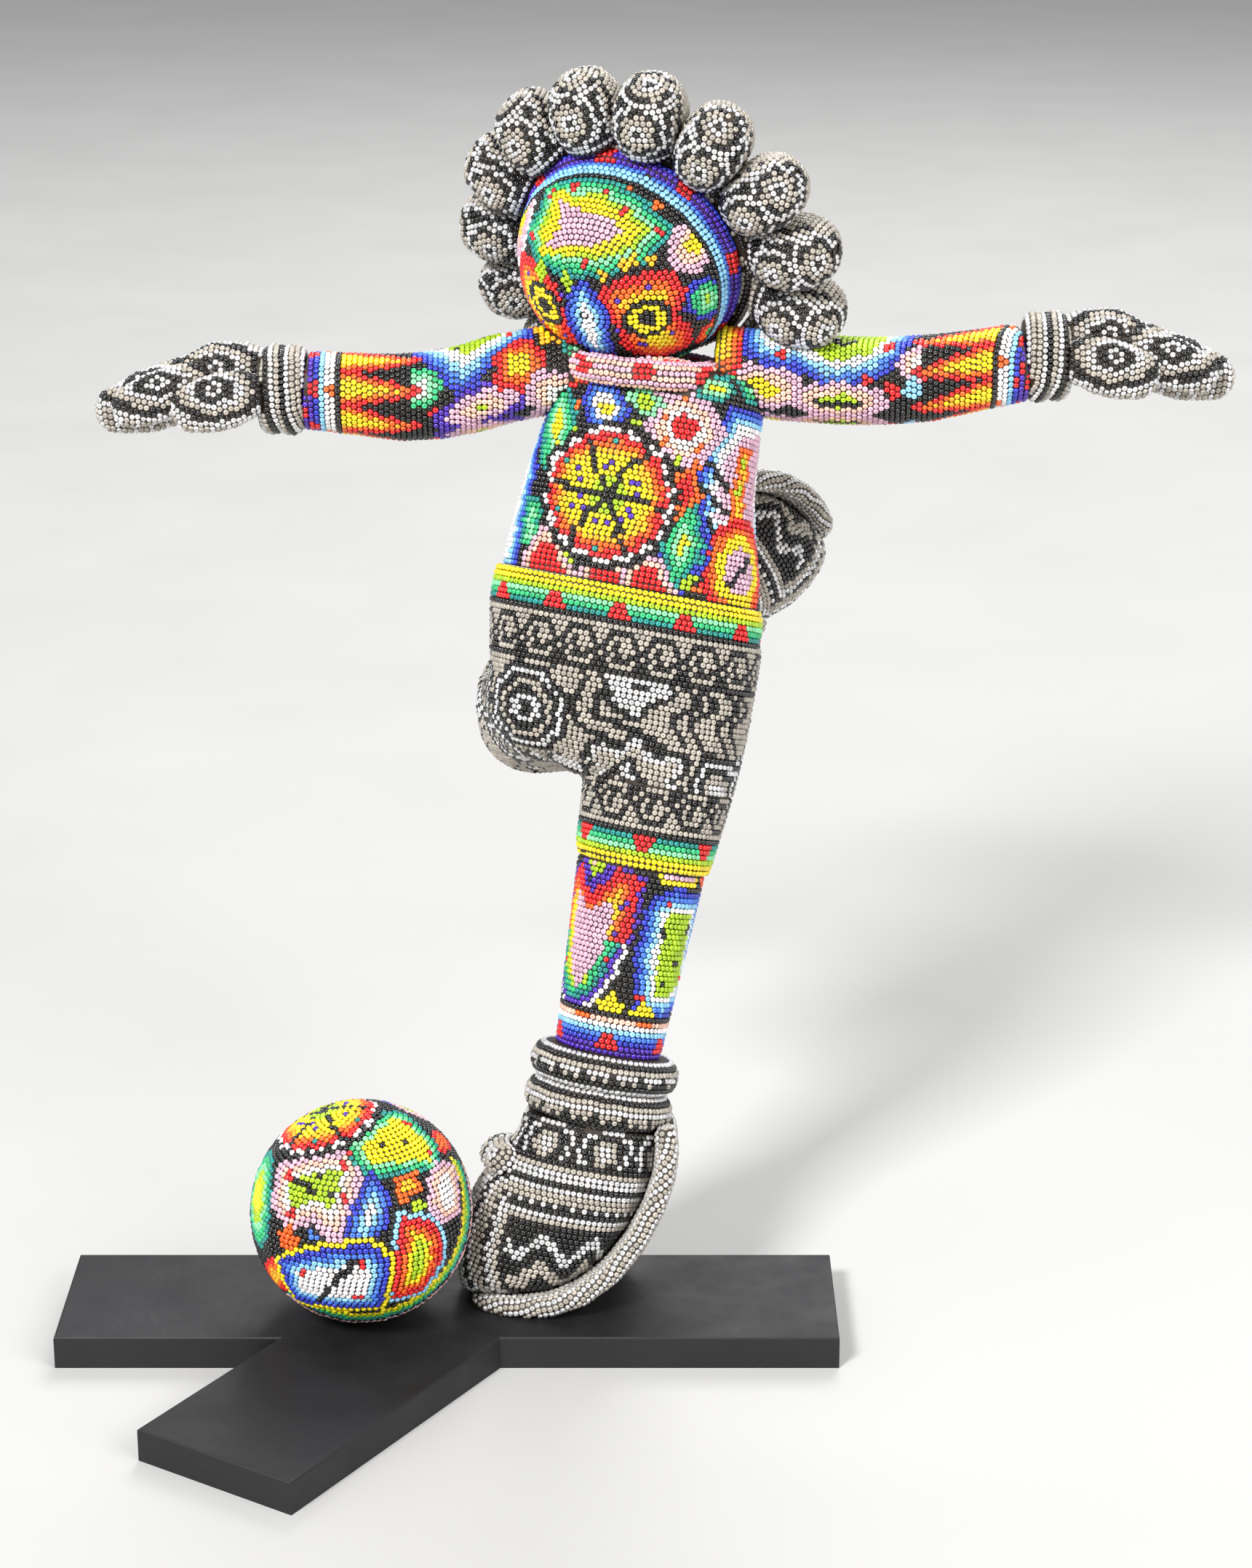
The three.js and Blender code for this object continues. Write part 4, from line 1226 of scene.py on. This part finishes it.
def bead_rows():
    """For each beaded core: where its rows start, and which way its front looks."""
    left, right = direction(-1, 0, 0), direction(1, 0, 0)
    rows = {
        "face_rim": (axial_seeds(HEAD_AXIS, 1.0), HEAD_UP),
        "face_dome": (axial_seeds(HEAD_AXIS, 3.0), HEAD_UP),
        "neck_ring": (axial_seeds(direction(0.1, -0.16, 1), 0.8), FRONT),
        "torso": (axial_seeds(WAIST_UP), FRONT),
        "shorts_hem": (axial_seeds(LEG_UP), FRONT),
        "shorts": (axial_seeds(-WAIST_UP), FRONT),
        "left_arm": (axial_seeds(right), FRONT),
        "right_arm": (axial_seeds(left), FRONT),
        "head_core": (contact_seeds("face_rim"), HEAD_UP),
        "ball": (axial_seeds(VERTICAL), np.array([0.0, -1.0, 0.0])),
    }
    rows |= foot_rows("standing", LEG_UP) | foot_rows("raised", RAISED_UP)
    rows |= hand_rows("left", left) | hand_rows("right", right)
    for number in range(1, PETALS + 1):
        rows[f"mane_petal_{number}"] = (axial_seeds(petal_way(number), 3.0), HEAD_AXIS)
    return rows


PAINTED_EDGE = 0.9          # how far the paint rounds the plate's upper edges
CORNER_ANGLE = 0.8


def painted_plate():
    """The plate with its edges rounded over by the paint."""
    mesh = frame["nodes"]["base_plate"].data.copy()
    plate = add_object("base_plate_painted", mesh)
    shape = bmesh.new()
    shape.from_mesh(mesh)
    bmesh.ops.remove_doubles(shape, verts=shape.verts, dist=0.01 * MM)
    bmesh.ops.dissolve_limit(shape, angle_limit=0.01, verts=shape.verts, edges=shape.edges)
    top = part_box("base_plate")[1].z
    edges = [
        e for e in shape.edges
        if len(e.link_faces) == 2 and e.calc_face_angle(0) > CORNER_ANGLE
        and min(v.co.z for v in e.verts) > top - 0.1 * MM
    ]
    bmesh.ops.bevel(shape, geom=edges, offset=PAINTED_EDGE * MM, segments=3, profile=0.6, affect="EDGES")
    shape.to_mesh(mesh)
    shape.free()
    mesh.materials.clear()
    mesh.materials.append(PAINT)
    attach(plate, "root")
    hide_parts("base_plate")


CORE_FINISH = {"black_painted_steel": PAINT, "zinc_plated_steel": STEEL, "beech_dowel": BEECH}


def finish_cores():
    for node, core in frame["nodes"].items():
        core.data.materials.clear()
        core.data.materials.append(CORE_FINISH.get(SLOTS[node], WAX))


# ---- floor, light and camera
CAMERA_FROM_TOE = (41.7, -1140.5)      # across and towards the viewer
CAMERA_HEIGHT = 599.4
CAMERA_DOWN = math.radians(19)
LENS = 80.7


def add_floor():
    bpy.ops.mesh.primitive_plane_add(size=12, location=(0, 0, 0))
    floor = bpy.context.object
    floor.name = "floor"
    floor.data.materials.append(
        surface("pale_floor", linear("b9b8b6"), linear("bdbcba"), 6, (0.6, 0.7), grain=0.02))
    floor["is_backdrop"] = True


def add_light(name, place, size, power):
    data = bpy.data.lights.new(name, "AREA")
    data.size = size
    data.energy = power
    light = add_object(name, data)
    light.location = place
    aim = Vector((0, 0, 0.22)) - light.location
    light.rotation_euler = aim.to_track_quat("-Z", "Y").to_euler()


def add_world():
    world = bpy.data.worlds.new("studio")
    world.use_nodes = True
    background = world.node_tree.nodes["Background"]
    set_inputs(background, {"Color": (0.9, 0.92, 0.95, 1), "Strength": 0.5})
    bpy.context.scene.world = world


def add_camera():
    data = bpy.data.cameras.new("camera")
    data.sensor_width = 36
    data.lens = LENS
    data.clip_start, data.clip_end = 0.05, 50
    camera = add_object("camera", data)
    across, nearer = CAMERA_FROM_TOE
    camera.location = Vector((TOE[0] + across, TOE[1] + nearer, CAMERA_HEIGHT)) * MM
    camera.rotation_euler = (math.pi / 2 - CAMERA_DOWN, 0, 0)
    bpy.context.scene.camera = camera


add_camera()
add_floor()
add_world()
add_light("key", (-1.5, -2.3, 2.5), 0.8, 165)
add_light("fill", (2.2, -1.9, 1.8), 2.0, 70)
add_light("rim", (0.5, 2.2, 2.4), 1.6, 60)
bpy.context.scene.view_settings.view_transform = "Standard"

for name, (seeds, front) in bead_rows().items():
    node = CORE_UNDER.get(name, name)
    beads = lay_beads(node, seeds, front)
    beads.keep(own_share(name, beads))
    clear_of_neighbours(node, beads)
    paint(name, beads)
    add_beads(name, beads)
painted_plate()
finish_cores()


def corners(bounds):
    return [list(corner) for corner in bounds]


{"cad": corners(cad_bounds), "visual": corners(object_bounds())}
